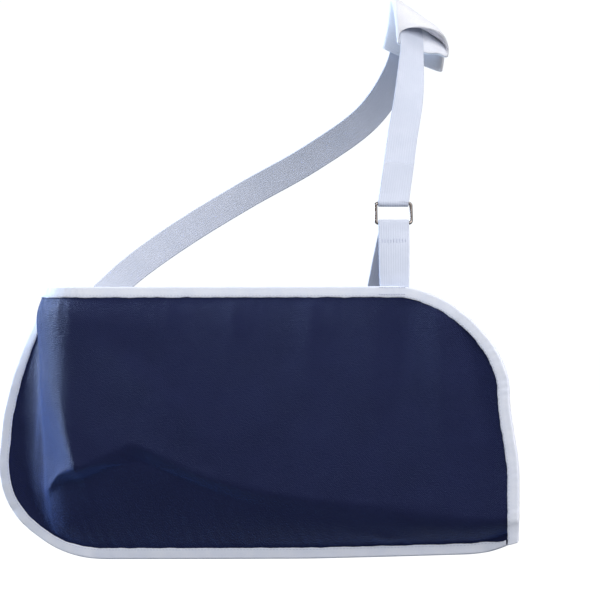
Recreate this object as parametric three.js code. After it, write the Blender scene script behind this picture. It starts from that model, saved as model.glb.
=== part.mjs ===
// Arm sling: a cloth pouch hung from one shoulder strap with a metal ring and a padded sleeve.
// Millimetres. +X runs to the hand end of the pouch, +Y to the back, +Z up.
// The origin is on the underside of the pad, where the sling hangs on the shoulder.
import * as THREE from 'three';

// Driving sizes of the pouch
const elbowReach = 357;       // origin to the outermost point of the elbow seam
const pouchWidth = 432;       // elbow seam to hand edge, seen from the front
const pouchTop = 226;         // top edge, below the origin
const pouchHeight = 232;      // top edge to the lowest point of the seam
const elbowRadius = 48;       // round of the pouch at its elbow end
const elbowDepth = -18;       // centre of that round, in Y
const elbowWrap = 107;        // cloth from the elbow seam to the flat side
const handForward = 172;      // seam at the hand end, in front of the origin
const handGap = 40;           // front to back panel at the hand edge
const clothThickness = 1.4;
const tapeWidth = 8.2;
const tapeThickness = 0.9;
const clearance = 0.35;       // between pieces that touch in the real sling
const tapeMargin = 1.6;       // flat cloth between the seam tape and the belly of the pouch

// Driving sizes of the corners of the pouch
const elbowCornerLength = 124;
const elbowCornerHeight = 84;
const handCornerLength = 105;
const handCornerHeight = 92;
const handEdgeSlant = 8;
const handSlantEnd = 0.74;    // where the slant of the hand edge ends, as a share of the height
const elbowCornerPower = 2.35;  // squareness of a corner's curve: 2 is an ellipse
const handCornerPower = 1.8;
const backTopInset = 3;       // back panel's top edge, below the front's
const backHandInset = 13.5;   // back panel's hand edge, inside the front's
const backEndRise = 7;        // lower end of the back binding, above the front's
const seamEndInset = 15;      // hand end of the seam tape, inside the hand edge
const seamGap = 0.6;          // between the two panels inside the seam tape

// Driving sizes of the webbing, ring and pad
const webbingWidth = 25;
const webbingThickness = 1.5;
const ringWire = 2.4;
const ringOpening = 26.4;
const ringHeight = 16.5;
const ringDrop = 166;         // centre of the ring, below the origin
const ringForward = 113;      // centre of the ring, in front of the origin
const ringAside = -21.6;      // centre of the ring, in X
const foldBack = 38;          // strap end sewn back above the ring
const joinRise = 9;           // from a bar of the ring to where the webbing's two layers meet
const legOverlap = 28;        // tab inside the pouch, below its top edge
const frontLegShift = 1.5;    // lower end of the tab's front leg, towards the elbow
const backLegShift = 8.5;     // lower end of the tab's back leg, towards the elbow
const strapSpread = 105;      // how far the strap stands behind the origin, across the back
const strapEndOverlap = 27;   // strap end sewn along the elbow corner of the back panel
const strapEndInset = 30;     // strap's end, from the elbow seam
const padWidth = 58;
const padLayer = 2.8;
const padEdge = 1.3;          // pad's thickness along its two folded sides
const padSlot = 2.4;          // height of the channel between the pad's layers
const padOffset = 9.5;         // middle of the pad, outwards from the middle of the strap
const padFront = 46;          // pad's length in front of its crest
const padBack = 56;           // pad's length behind its crest
const mouthArch = 11;         // lift of the pad's upper layer at its front end
const mouthRetract = 7;       // how much shorter the upper layer is there
const mouthShift = 2.5;       // how far the pad's front end slips outwards on the strap
const mouthTaper = 4;         // how much narrower the pad is there
const shoulderSlope = 41;     // slope of the pad across its crest
const chestSlope = 28;        // lean of the ring and the webbing beside it
const strapLean = 0.14;       // sideways run of the strap above the ring, for each unit of height

const degree = Math.PI / 180;

// Elbow seam: out and behind are shares of the elbow round's radius, from its centre
const elbowSeam = [
  { down: 0.00, out: 0.88, behind: 1.08, frontRoot: -202, backRoot: 110 },
  { down: 0.07, out: 0.98, behind: 1.01, frontRoot: -200, backRoot: 114 },
  { down: 0.14, out: 1.10, behind: 0.92, frontRoot: -197, backRoot: 120 },
  { down: 0.23, out: 1.29, behind: 0.81, frontRoot: -193, backRoot: 128 },
  { down: 0.34, out: 1.48, behind: 0.70, frontRoot: -189, backRoot: 136 },
  { down: 0.48, out: 1.64, behind: 0.60, frontRoot: -186, backRoot: 145 },
  { down: 0.64, out: 1.71, behind: 0.56, frontRoot: -184, backRoot: 150 },
  { down: 1.00, out: 1.71, behind: 0.56, frontRoot: -184, backRoot: 150 },
];

// Along the pouch from the elbow seam: height left by the rising bottom, height of the turned-under
// belly as a share of the pouch, its roundness, and fullness at the top edge
const lengthwise = [
  { along: 0.00, height: 1.000, belly: 0.13, roundness: 1.15, topFullness: 1.00 },
  { along: 0.10, height: 1.000, belly: 0.16, roundness: 1.15, topFullness: 1.00 },
  { along: 0.21, height: 1.000, belly: 0.35, roundness: 1.20, topFullness: 0.98 },
  { along: 0.33, height: 0.990, belly: 0.35, roundness: 1.40, topFullness: 0.84 },
  { along: 0.45, height: 0.980, belly: 0.32, roundness: 1.60, topFullness: 0.74 },
  { along: 0.63, height: 0.964, belly: 0.24, roundness: 1.80, topFullness: 0.68 },
  { along: 0.77, height: 0.946, belly: 0.19, roundness: 1.80, topFullness: 0.68 },
  { along: 0.93, height: 0.924, belly: 0.14, roundness: 1.80, topFullness: 0.72 },
  { along: 0.97, height: 0.905, belly: 0.12, roundness: 1.80, topFullness: 0.74 },
  { along: 1.00, height: 0.872, belly: 0.11, roundness: 1.80, topFullness: 0.74 },
];

// The top binding draws the elbow round in: share of its radius, by depth below the top edge
const topGather = [
  { down: 0.00, radius: 0.84 },
  { down: 0.04, radius: 0.88 },
  { down: 0.07, radius: 0.95 },
  { down: 0.12, radius: 1.00 },
  { down: 1.00, radius: 1.00 },
];

// Value of one column of a table at a place, straight between its rows
function column(table, key, place, name) {
  const last = table[table.length - 1];
  if (place <= table[0][key]) return table[0][name];
  if (place >= last[key]) return last[name];
  const next = table.findIndex((row) => row[key] > place);
  const low = table[next - 1];
  const high = table[next];
  return THREE.MathUtils.mapLinear(place, low[key], high[key], low[name], high[name]);
}

const elbowCentre = new THREE.Vector2(-elbowReach + elbowSeam[elbowSeam.length - 1].out * elbowRadius, elbowDepth);
const handX = -elbowReach + pouchWidth;
const handMiddle = new THREE.Vector2(handX, -handForward);
const handFront = new THREE.Vector2(handX, -handForward - handGap / 2);
const handBack = new THREE.Vector2(handX, -handForward + handGap / 2);

// Angle on the elbow round where a line from the hand end touches it
function touchAngle(hand, side) {
  const reach = hand.clone().sub(elbowCentre);
  return Math.atan2(reach.y, reach.x) + side * Math.acos(elbowRadius / reach.length());
}

function onRound(angle, radius) {
  return new THREE.Vector2(Math.cos(angle), Math.sin(angle)).multiplyScalar(radius).add(elbowCentre);
}

const frontTouch = touchAngle(handFront, -1);
const backTouch = touchAngle(handBack, 1);
const middleTouch = onRound(frontTouch, elbowRadius).lerp(onRound(backTouch, elbowRadius), 0.5);
const flatLength = handFront.distanceTo(onRound(frontTouch, elbowRadius));
const clothLength = elbowWrap + flatLength;
const seamAllowance = tapeWidth + tapeThickness + clearance;

// Height of the pouch left at a place along the cloth
function localHeight(along) {
  return column(lengthwise, 'along', along / clothLength, 'height');
}

// Corner curve: drop from full height as a place nears the end of a corner
function cornerDrop(distance, length, height, power) {
  const share = THREE.MathUtils.clamp(distance / length, 0, 1);
  return height * (1 - Math.pow(1 - Math.pow(share, power), 1 / power));
}

// Plan of the seam plane, front panel and back panel, at a place along the cloth and down it
function planPoints(along, down) {
  const share = down / pouchHeight;
  const radius = elbowRadius * column(topGather, 'down', share, 'radius');
  const seam = new THREE.Vector2(
    elbowCentre.x - column(elbowSeam, 'down', share, 'out') * elbowRadius,
    elbowCentre.y + column(elbowSeam, 'down', share, 'behind') * elbowRadius,
  );
  const frontAngle = column(elbowSeam, 'down', share, 'frontRoot') * degree;
  const backAngle = column(elbowSeam, 'down', share, 'backRoot') * degree;
  const frontRoot = onRound(frontAngle, radius);
  const backRoot = onRound(backAngle, elbowRadius);
  const middleRoot = frontRoot.clone().lerp(backRoot, 0.5);
  const finLength = seam.distanceTo(middleRoot);
  const middle = new THREE.Vector2();
  if (along < finLength) {
    middle.lerpVectors(seam, middleRoot, along / finLength);
    const opening = THREE.MathUtils.smoothstep(along, seamAllowance + tapeMargin, finLength);
    return {
      middle,
      front: middle.clone().addScaledVector(frontRoot.clone().sub(middleRoot), opening),
      back: middle.clone().addScaledVector(backRoot.clone().sub(middleRoot), opening),
    };
  }
  if (along < elbowWrap) {
    const turn = (along - finLength) / (elbowWrap - finLength);
    return {
      middle: middle.lerpVectors(middleRoot, middleTouch, turn),
      front: onRound(THREE.MathUtils.lerp(frontAngle, frontTouch, turn), radius),
      back: onRound(THREE.MathUtils.lerp(backAngle, backTouch, turn), elbowRadius),
    };
  }
  const run = (along - elbowWrap) / flatLength;
  return {
    middle: middle.lerpVectors(middleTouch, handMiddle, run),
    front: onRound(frontTouch, radius).lerp(handFront, run),
    back: onRound(backTouch, elbowRadius).lerp(handBack, run),
  };
}

// Outline of a panel in flat cloth, as a loop: top edge, hand side, bottom, elbow side.
// upperStart, handStart, lowerStart and elbowStart say where each stretch begins.
const elbowFan = 46;
const handFan = 88;
const wrapSteps = 8;
const flatSteps = 13;
const fanSteps = 7;
const spineDepth = 0.52;      // depth of the line that a panel's rings close on, as a share
const fullDepth = 0.6;        // depth at which the pouch is fullest, as a share

function panelOutline(topInset, handInset, endRise) {
  const handEnd = clothLength - handInset;
  const spineStart = elbowFan;
  const spineEnd = clothLength - handFan;
  const topAt = (along) => topInset
    + cornerDrop(along - (handEnd - handCornerLength), handCornerLength, handCornerHeight,
      handCornerPower);
  const handAt = (down) => handEnd
    - handEdgeSlant * (1 - THREE.MathUtils.smoothstep(down, handCornerHeight, handSlantEnd * pouchHeight));
  const bottomAt = (along) => pouchHeight
    - cornerDrop(elbowCornerLength - along, elbowCornerLength, elbowCornerHeight,
      elbowCornerPower);
  const columns = [];
  for (let i = 0; i < wrapSteps; i += 1) {
    columns.push(THREE.MathUtils.lerp(spineStart, elbowWrap, i / wrapSteps));
  }
  for (let i = 0; i <= flatSteps; i += 1) {
    columns.push(THREE.MathUtils.lerp(elbowWrap, spineEnd, i / flatSteps));
  }
  const loop = [];
  const spine = [];
  const add = (along, down, stem) => {
    loop.push(new THREE.Vector2(along, down));
    spine.push(stem);
  };
  columns.forEach((along, i) => add(along, topAt(along), i));
  const lastColumn = columns.length - 1;
  for (let i = 1; i <= fanSteps; i += 1) {
    const sweep = Math.sin((i / fanSteps) * Math.PI / 2);
    const along = THREE.MathUtils.lerp(spineEnd, handEnd - handEdgeSlant, sweep);
    add(along, Math.min(topAt(along + handEdgeSlant * sweep), topInset + handCornerHeight), lastColumn);
  }
  const handEdgeEnd = pouchHeight - seamAllowance - tapeMargin;
  for (let i = 1; i < fanSteps; i += 1) {
    const down = THREE.MathUtils.lerp(topInset + handCornerHeight, handEdgeEnd - endRise, i / (fanSteps - 1));
    add(handAt(down), down, lastColumn);
  }
  const bindingEnd = loop.length - 1;
  if (endRise > 0) add(handAt(handEdgeEnd), handEdgeEnd, lastColumn);
  const handCorner = loop.length;
  add(handEnd, pouchHeight, lastColumn);
  for (let i = 0; i < 3; i += 1) {
    const along = THREE.MathUtils.lerp(clothLength - seamEndInset, spineEnd, i / 3);
    if (along < handEnd - tapeWidth) add(along, pouchHeight, lastColumn);
  }
  columns.slice().reverse().forEach((along, i) => add(along, bottomAt(along), lastColumn - i));
  for (let i = 1; i <= fanSteps; i += 1) {
    const along = spineStart * (1 - Math.sin((i / fanSteps) * Math.PI / 2));
    add(along, bottomAt(along), 0);
  }
  const elbowEdgeEnd = pouchHeight - elbowCornerHeight;
  for (let i = 1; i < fanSteps; i += 1) {
    add(0, THREE.MathUtils.lerp(elbowEdgeEnd, 0, i / fanSteps), 0);
  }
  const elbowCorner = loop.length;
  add(0, topInset, 0);
  for (let i = 1; i < 4; i += 1) {
    add((spineStart * i) / 4, topInset, 0);
  }
  return { loop, spine, columns, bindingEnd, handCorner, elbowCorner };
}

// A loop moved inwards by a distance, with its corners mitred
function insetLoop(loop, distance) {
  return loop.map((point, i) => {
    const before = point.clone().sub(loop[(i + loop.length - 1) % loop.length]).normalize();
    const after = loop[(i + 1) % loop.length].clone().sub(point).normalize();
    const inward = new THREE.Vector2(-(before.y + after.y), before.x + after.x).normalize();
    const mitre = Math.max(0.5, inward.dot(new THREE.Vector2(-after.y, after.x)));
    return point.clone().addScaledVector(inward, distance / mitre);
  });
}

function distanceToLoop(point, loop, from, to) {
  let nearest = Infinity;
  const foot = new THREE.Vector2();
  for (let i = from; i < to; i += 1) {
    const step = loop[i + 1].clone().sub(loop[i]);
    const share = THREE.MathUtils.clamp(point.clone().sub(loop[i]).dot(step) / step.lengthSq(), 0, 1);
    nearest = Math.min(nearest, foot.copy(loop[i]).addScaledVector(step, share).distanceTo(point));
  }
  return nearest;
}

// Point of a panel's middle surface. side is 'front' or 'back'; the seam keeps both panels apart.
function panelPoint(side, along, down, outline) {
  const plan = planPoints(along, down);
  const place = along / clothLength;
  const fromSeam = distanceToLoop(new THREE.Vector2(along, down), outline.edge, outline.handCorner,
    outline.elbowCorner);
  const belly = column(lengthwise, 'along', place, 'belly') * pouchHeight;
  const under = THREE.MathUtils.clamp((belly - fromSeam) / (belly - tapeWidth - tapeMargin), 0, 1);
  const round = 1 - Math.pow(under, column(lengthwise, 'along', place, 'roundness'));
  const top = column(lengthwise, 'along', place, 'topFullness');
  const depth = THREE.MathUtils.clamp(down / (pouchHeight * fullDepth), 0, 1);
  const upper = THREE.MathUtils.lerp(top, 1, Math.sin(depth * Math.PI / 2));
  const full = round * upper;
  const point = plan.middle.clone().lerp(plan[side], full);
  const across = planPoints(along + 1, down).middle.sub(plan.middle).normalize();
  const apart = (clothThickness + seamGap) / 2 * (side === 'front' ? 1 : -1);
  const keep = 1 - THREE.MathUtils.clamp(full, 0, 1);
  return new THREE.Vector3(
    point.x + across.y * apart * keep,
    point.y - across.x * apart * keep,
    -pouchTop - down * localHeight(along),
  );
}

// Builds a named closed mesh from points and triangles, with its faces outwards
function solid(name, points, faces, material) {
  let volume = 0;
  faces.forEach(([a, b, c]) => {
    volume += points[a].dot(points[b].clone().cross(points[c]));
  });
  const geometry = new THREE.BufferGeometry();
  geometry.setAttribute('position', new THREE.Float32BufferAttribute(points.flatMap((p) => p.toArray()), 3));
  geometry.setIndex(faces.flatMap(([a, b, c]) => (volume > 0 ? [a, b, c] : [a, c, b])));
  geometry.computeVertexNormals();
  const mesh = new THREE.Mesh(geometry, material);
  mesh.name = name;
  return mesh;
}

// Joins rings of equally many points into a closed solid: capped at its ends, or joined end to end
function loft(name, rings, material, joined = false) {
  const count = rings[0].length;
  const points = rings.flat();
  const faces = [];
  const spans = joined ? rings.length : rings.length - 1;
  for (let i = 0; i < spans; i += 1) {
    const next = (i + 1) % rings.length;
    for (let j = 0; j < count; j += 1) {
      const k = (j + 1) % count;
      faces.push([i * count + j, next * count + j, next * count + k]);
      faces.push([i * count + j, next * count + k, i * count + k]);
    }
  }
  if (!joined) {
    const outline = rings.map((ring) => THREE.ShapeUtils.triangulateShape(flatten(ring), []));
    outline[0].forEach(([a, b, c]) => faces.push([a, b, c]));
    const last = (rings.length - 1) * count;
    outline[rings.length - 1].forEach(([a, b, c]) => faces.push([last + a, last + c, last + b]));
  }
  return solid(name, points, faces, material);
}

// A ring of points in its own plane, wound the way that triangulateShape keeps
function flatten(ring) {
  const normal = new THREE.Vector3();
  ring.forEach((point, i) => {
    normal.add(point.clone().cross(ring[(i + 1) % ring.length]));
  });
  normal.normalize();
  const first = ring[1].clone().sub(ring[0]).normalize();
  const second = normal.clone().cross(first);
  return ring.map((point) => new THREE.Vector2(point.dot(first), point.dot(second)));
}

const navyCloth = new THREE.MeshStandardMaterial({ color: '#232a4d', roughness: 0.82, metalness: 0 });
const whiteTape = new THREE.MeshStandardMaterial({ color: '#cfd6e6', roughness: 0.85, metalness: 0 });
const whiteWebbing = new THREE.MeshStandardMaterial({ color: '#d9dfec', roughness: 0.8, metalness: 0 });
const whitePad = new THREE.MeshStandardMaterial({ color: '#e8e9f2', roughness: 0.9, metalness: 0 });
const nickel = new THREE.MeshStandardMaterial({ color: '#b9b2ad', roughness: 0.28, metalness: 1 });

// Rings of a panel from its edge to its spine, as shares past the tape
const innerRings = [0.16, 0.36, 0.62];

// The middle surface of a panel: points ring by ring, triangles and normals
function panelSurface(side, topInset, handInset, endRise) {
  const outline = panelOutline(topInset, handInset, endRise);
  outline.edge = insetLoop(outline.loop, tapeThickness + clearance);
  const tapeLine = insetLoop(outline.loop, seamAllowance + tapeMargin);
  const count = outline.loop.length;
  const stems = outline.columns.map((along) => new THREE.Vector2(along, spineDepth * pouchHeight));
  const flat = [outline.edge, tapeLine];
  innerRings.forEach((share) => {
    flat.push(tapeLine.map((point, i) => point.clone().lerp(stems[outline.spine[i]], share)));
  });
  const points = flat.flat().concat(stems).map((point) => panelPoint(side, point.x, point.y, outline));
  const faces = [];
  const addFace = (a, b, c) => {
    if (a !== b && b !== c && a !== c) faces.push([a, b, c]);
  };
  for (let ring = 0; ring < flat.length; ring += 1) {
    for (let i = 0; i < count; i += 1) {
      const next = (i + 1) % count;
      const a = ring * count + i;
      const b = ring * count + next;
      const last = ring === flat.length - 1;
      const c = last ? flat.length * count + outline.spine[next] : (ring + 1) * count + next;
      const d = last ? flat.length * count + outline.spine[i] : (ring + 1) * count + i;
      addFace(a, c, b);
      addFace(a, d, c);
    }
  }
  const normals = points.map(() => new THREE.Vector3());
  faces.forEach(([a, b, c]) => {
    const normal = points[b].clone().sub(points[a]).cross(points[c].clone().sub(points[a]));
    [a, b, c].forEach((corner) => normals[corner].add(normal));
  });
  normals.forEach((normal) => normal.normalize());
  return { outline, count, points, faces, normals };
}

function offset(surface, index, distance) {
  return surface.points[index].clone().addScaledVector(surface.normals[index], distance);
}

// A panel: its middle surface given the cloth's thickness
function panel(name, surface) {
  const half = clothThickness / 2;
  const total = surface.points.length;
  const points = surface.points.map((_, i) => offset(surface, i, half));
  surface.points.forEach((_, i) => points.push(offset(surface, i, -half)));
  const faces = [];
  surface.faces.forEach(([a, b, c]) => {
    faces.push([a, b, c], [a + total, c + total, b + total]);
  });
  for (let i = 0; i < surface.count; i += 1) {
    const next = (i + 1) % surface.count;
    faces.push([i, next, next + total], [i, next + total, i + total]);
  }
  return solid(name, points, faces, navyCloth);
}

// Section of a tape folded over an edge: two legs and the fold between them
function foldedSection(edge, leg, edgeNormal, legNormal, half) {
  const outwards = edge.clone().sub(leg).normalize();
  const at = (base, normal, height, out) => base.clone()
    .addScaledVector(normal, height).addScaledVector(outwards, out);
  const outer = half + tapeThickness;
  const fold = clearance + tapeThickness;
  return [
    at(leg, legNormal, half, 0),
    at(leg, legNormal, outer, 0),
    at(edge, edgeNormal, outer, fold),
    at(edge, edgeNormal, -outer, fold),
    at(leg, legNormal, -outer, 0),
    at(leg, legNormal, -half, 0),
    at(edge, edgeNormal, -half, clearance),
    at(edge, edgeNormal, half, clearance),
  ];
}

function bindingRings(surface, from, to) {
  const rings = [];
  const share = tapeWidth / (tapeWidth + tapeMargin);
  for (let i = from; i <= to; i += 1) {
    const edge = i % surface.count;
    const inner = surface.count + edge;
    const leg = surface.points[edge].clone().lerp(surface.points[inner], share);
    const legNormal = surface.normals[edge].clone().lerp(surface.normals[inner], share);
    rings.push(foldedSection(surface.points[edge], leg, surface.normals[edge], legNormal,
      clothThickness / 2 + clearance));
  }
  return rings;
}

const frontSurface = panelSurface('front', 0, 0, 0);
const backSurface = panelSurface('back', backTopInset, backHandInset, backEndRise);

// The front binding runs on past its last row of the panel, to a square end at the pouch's bottom
function frontBinding() {
  const surface = frontSurface;
  const from = surface.outline.elbowCorner + 2;
  const to = surface.count + surface.outline.bindingEnd;
  const rings = bindingRings(surface, from, to);
  const half = clothThickness / 2 + clearance;
  const edgeInset = tapeThickness + clearance;
  const endDown = pouchHeight - edgeInset;
  const edge = panelPoint('front', clothLength - edgeInset, endDown, surface.outline);
  const leg = panelPoint('front', clothLength - seamAllowance, endDown, surface.outline);
  const facing = seamFacing(clothLength - seamAllowance, endDown);
  rings.push(foldedSection(edge, leg, facing, facing, half));
  return loft('front_binding', rings, whiteTape);
}

function backBinding() {
  const surface = backSurface;
  const from = surface.outline.elbowCorner + 3;
  const to = surface.count + surface.outline.bindingEnd;
  return loft('back_binding', bindingRings(surface, from, to), whiteTape);
}

// The seam binding holds both panels' edges along the bottom and up the elbow side
function seamBinding() {
  const { outline } = frontSurface;
  const tapeLine = insetLoop(outline.loop, seamAllowance);
  const half = clothThickness + seamGap / 2 + clearance;
  const rings = [];
  for (let i = outline.handCorner + 1; i <= outline.elbowCorner; i += 1) {
    const facing = seamFacing(outline.edge[i].x, outline.edge[i].y);
    rings.push(foldedSection(seamPoint(outline.edge[i]), seamPoint(tapeLine[i]), facing, facing, half));
  }
  return loft('seam_binding', rings, whiteTape);
}

function seamPoint(place) {
  const { middle } = planPoints(place.x, place.y);
  return new THREE.Vector3(middle.x, middle.y, -pouchTop - place.y * localHeight(place.x));
}

// Direction that the seam plane faces, towards the front
function seamFacing(along, down) {
  const here = planPoints(Math.max(along, 0), down).middle;
  const across = planPoints(Math.max(along, 0) + 1, down).middle.sub(here).normalize();
  return new THREE.Vector3(across.y, -across.x, 0);
}

// A place beside a panel: its point, the direction out of the pouch and the direction along the cloth
function besidePanel(side, surface, along, down, distance) {
  const point = panelPoint(side, along, down, surface.outline);
  const across = panelPoint(side, along + 1, down, surface.outline).sub(point).normalize();
  const below = panelPoint(side, along, down + 1, surface.outline).sub(point).normalize();
  const outwards = across.clone().cross(below).normalize();
  if (side === 'front') outwards.negate();
  return { point: point.addScaledVector(outwards, distance), across, outwards };
}

// Place along the cloth where a panel's top edge is at a given X
function alongWhere(side, surface, x) {
  let along = elbowWrap + flatLength * 0.7;
  for (let i = 0; i < 4; i += 1) {
    along += x - panelPoint(side, along, 0, surface.outline).x;
  }
  return along;
}

// Flat webbing through stations of a middle point and a direction across the webbing
function webbing(name, stations, material) {
  const rings = stations.map((station, i) => {
    const before = stations[Math.max(i - 1, 0)].point;
    const after = stations[Math.min(i + 1, stations.length - 1)].point;
    const run = after.clone().sub(before).normalize();
    const across = station.across.clone().addScaledVector(run, -station.across.dot(run)).normalize();
    const face = run.clone().cross(across);
    const corner = (width, height) => station.point.clone()
      .addScaledVector(across, width * webbingWidth).addScaledVector(face, height * webbingThickness);
    return [corner(-0.5, -0.5), corner(0.5, -0.5), corner(0.5, 0.5), corner(-0.5, 0.5)];
  });
  return loft(name, rings, material);
}

// The ring leans with the webbing: up along the strap, and out to the front
const ringCentre = new THREE.Vector3(ringAside, -ringForward, -ringDrop);
const ringUp = new THREE.Vector3(0, Math.sin(chestSlope * degree), Math.cos(chestSlope * degree));
const ringOut = new THREE.Vector3(0, -Math.cos(chestSlope * degree), Math.sin(chestSlope * degree));
const sideways = new THREE.Vector3(1, 0, 0);
const barRise = (ringHeight + ringWire) / 2;
const barTurn = ringWire / 2 + clearance + webbingThickness / 2;
const layerHalf = (webbingThickness + clearance) / 2;

function nearRing(up, out, aside = 0) {
  return ringCentre.clone().addScaledVector(ringUp, up).addScaledVector(ringOut, out)
    .addScaledVector(sideways, aside);
}

// Round wire bent to a rectangle with rounded corners
function wireRing() {
  const cornerRadius = ringWire;
  const cornerSteps = 4;
  const wireSides = 8;
  const halfWidth = (ringOpening + ringWire) / 2 - cornerRadius;
  const halfHeight = barRise - cornerRadius;
  const rings = [];
  for (let corner = 0; corner < 4; corner += 1) {
    const sideX = corner === 0 || corner === 3 ? 1 : -1;
    const sideZ = corner < 2 ? 1 : -1;
    for (let i = 0; i <= cornerSteps; i += 1) {
      const angle = (corner + i / cornerSteps) * Math.PI / 2;
      const outwards = sideways.clone().multiplyScalar(Math.cos(angle)).addScaledVector(ringUp, Math.sin(angle));
      const middle = nearRing(sideZ * halfHeight, 0, sideX * halfWidth).addScaledVector(outwards, cornerRadius);
      const ring = [];
      for (let j = 0; j < wireSides; j += 1) {
        const turn = (j / wireSides) * 2 * Math.PI;
        ring.push(middle.clone().addScaledVector(outwards, Math.cos(turn) * ringWire / 2)
          .addScaledVector(ringOut, Math.sin(turn) * ringWire / 2));
      }
      rings.push(ring);
    }
  }
  return loft('ring', rings, nickel, true);
}

// Tab: up inside the front panel, over the ring's lower bar, down inside the back panel
function tabStations() {
  const frontAlong = alongWhere('front', frontSurface, ringAside - frontLegShift);
  const backAlong = alongWhere('back', backSurface, ringAside - backLegShift);
  const inside = -(clothThickness / 2 + 3 * clearance + tapeThickness + webbingThickness / 2);
  const stations = [];
  [legOverlap, legOverlap / 2, 0].forEach((down) => {
    const place = besidePanel('front', frontSurface, frontAlong, down, inside);
    stations.push({ point: place.point, across: place.across });
  });
  const top = stations[2];
  const join = nearRing(-barRise - joinRise, layerHalf);
  [0.25, 0.5, 0.75].forEach((share) => {
    stations.push({
      point: top.point.clone().lerp(join, share),
      across: top.across.clone().lerp(sideways, share).normalize(),
    });
  });
  stations.push({ point: join, across: sideways });
  stations.push({ point: nearRing(-barRise - joinRise / 2, (layerHalf + barTurn) / 2), across: sideways });
  for (let i = 0; i <= 8; i += 1) {
    const turn = Math.PI * (i / 8);
    stations.push({
      point: nearRing(-barRise + Math.sin(turn) * barTurn, Math.cos(turn) * barTurn),
      across: sideways,
    });
  }
  stations.push({ point: nearRing(-barRise - joinRise / 2, -(layerHalf + barTurn) / 2), across: sideways });
  const part = nearRing(-barRise - joinRise, -layerHalf);
  stations.push({ point: part, across: sideways });
  const legs = [0, legOverlap / 2, legOverlap].map((down) => besidePanel('back', backSurface,
    backAlong, down + backTopInset, inside));
  [0.25, 0.5, 0.75].forEach((share) => {
    stations.push({
      point: part.clone().lerp(legs[0].point, share),
      across: sideways.clone().lerp(legs[0].across, share).normalize(),
    });
  });
  legs.forEach((leg) => stations.push({ point: leg.point, across: leg.across }));
  return stations;
}

// Crest of the strap over the shoulder, above the underside of the pad
const crestOut = new THREE.Vector3(Math.sin(shoulderSlope * degree), 0, Math.cos(shoulderSlope * degree));
const crestAcross = new THREE.Vector3(Math.cos(shoulderSlope * degree), 0, -Math.sin(shoulderSlope * degree));
const crest = crestOut.clone().multiplyScalar(padLayer + padSlot / 2).addScaledVector(crestAcross, -padOffset);

// Strap in front: shares of the way from the ring's upper bar to the crest
const frontRoute = [
  { up: 0.330, aside: 0.50, forward: 0.700, faceX: 0.05, faceY: -0.88, faceZ: 0.47 },
  { up: 0.540, aside: 0.86, forward: 0.535, faceX: 0.24, faceY: -0.84, faceZ: 0.46 },
  { up: 0.760, aside: 1.06, forward: 0.375, faceX: 0.56, faceY: -0.72, faceZ: 0.42 },
  { up: 0.875, aside: 1.06, forward: 0.300, faceX: 0.58, faceY: -0.62, faceZ: 0.54 },
  { up: 0.965, aside: 1.02, forward: 0.170, faceX: 0.63, faceY: -0.32, faceZ: 0.70 },
];

// Strap behind: shares of the way from the crest to the elbow corner, and of its spread
const backRoute = [
  { down: 0.025, across: 0.000, behind: 0.18, faceX: 0.62, faceY: 0.32, faceZ: 0.70 },
  { down: 0.085, across: 0.005, behind: 0.34, faceX: 0.52, faceY: 0.66, faceZ: 0.54 },
  { down: 0.185, across: 0.030, behind: 0.51, faceX: 0.35, faceY: 0.86, faceZ: 0.34 },
  { down: 0.330, across: 0.120, behind: 0.73, faceX: 0.15, faceY: 0.96, faceZ: 0.20 },
  { down: 0.470, across: 0.300, behind: 0.91, faceX: 0.02, faceY: 1.00, faceZ: 0.06 },
  { down: 0.610, across: 0.530, behind: 1.00, faceX: -0.02, faceY: 1.00, faceZ: 0.00 },
  { down: 0.745, across: 0.730, behind: 0.93, faceX: -0.15, faceY: 0.98, faceZ: 0.00 },
  { down: 0.870, across: 0.885, behind: 0.74, faceX: -0.35, faceY: 0.92, faceZ: 0.00 },
  { down: 0.950, across: 0.960, behind: 0.54, faceX: -0.25, faceY: 0.95, faceZ: 0.00 },
];

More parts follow.
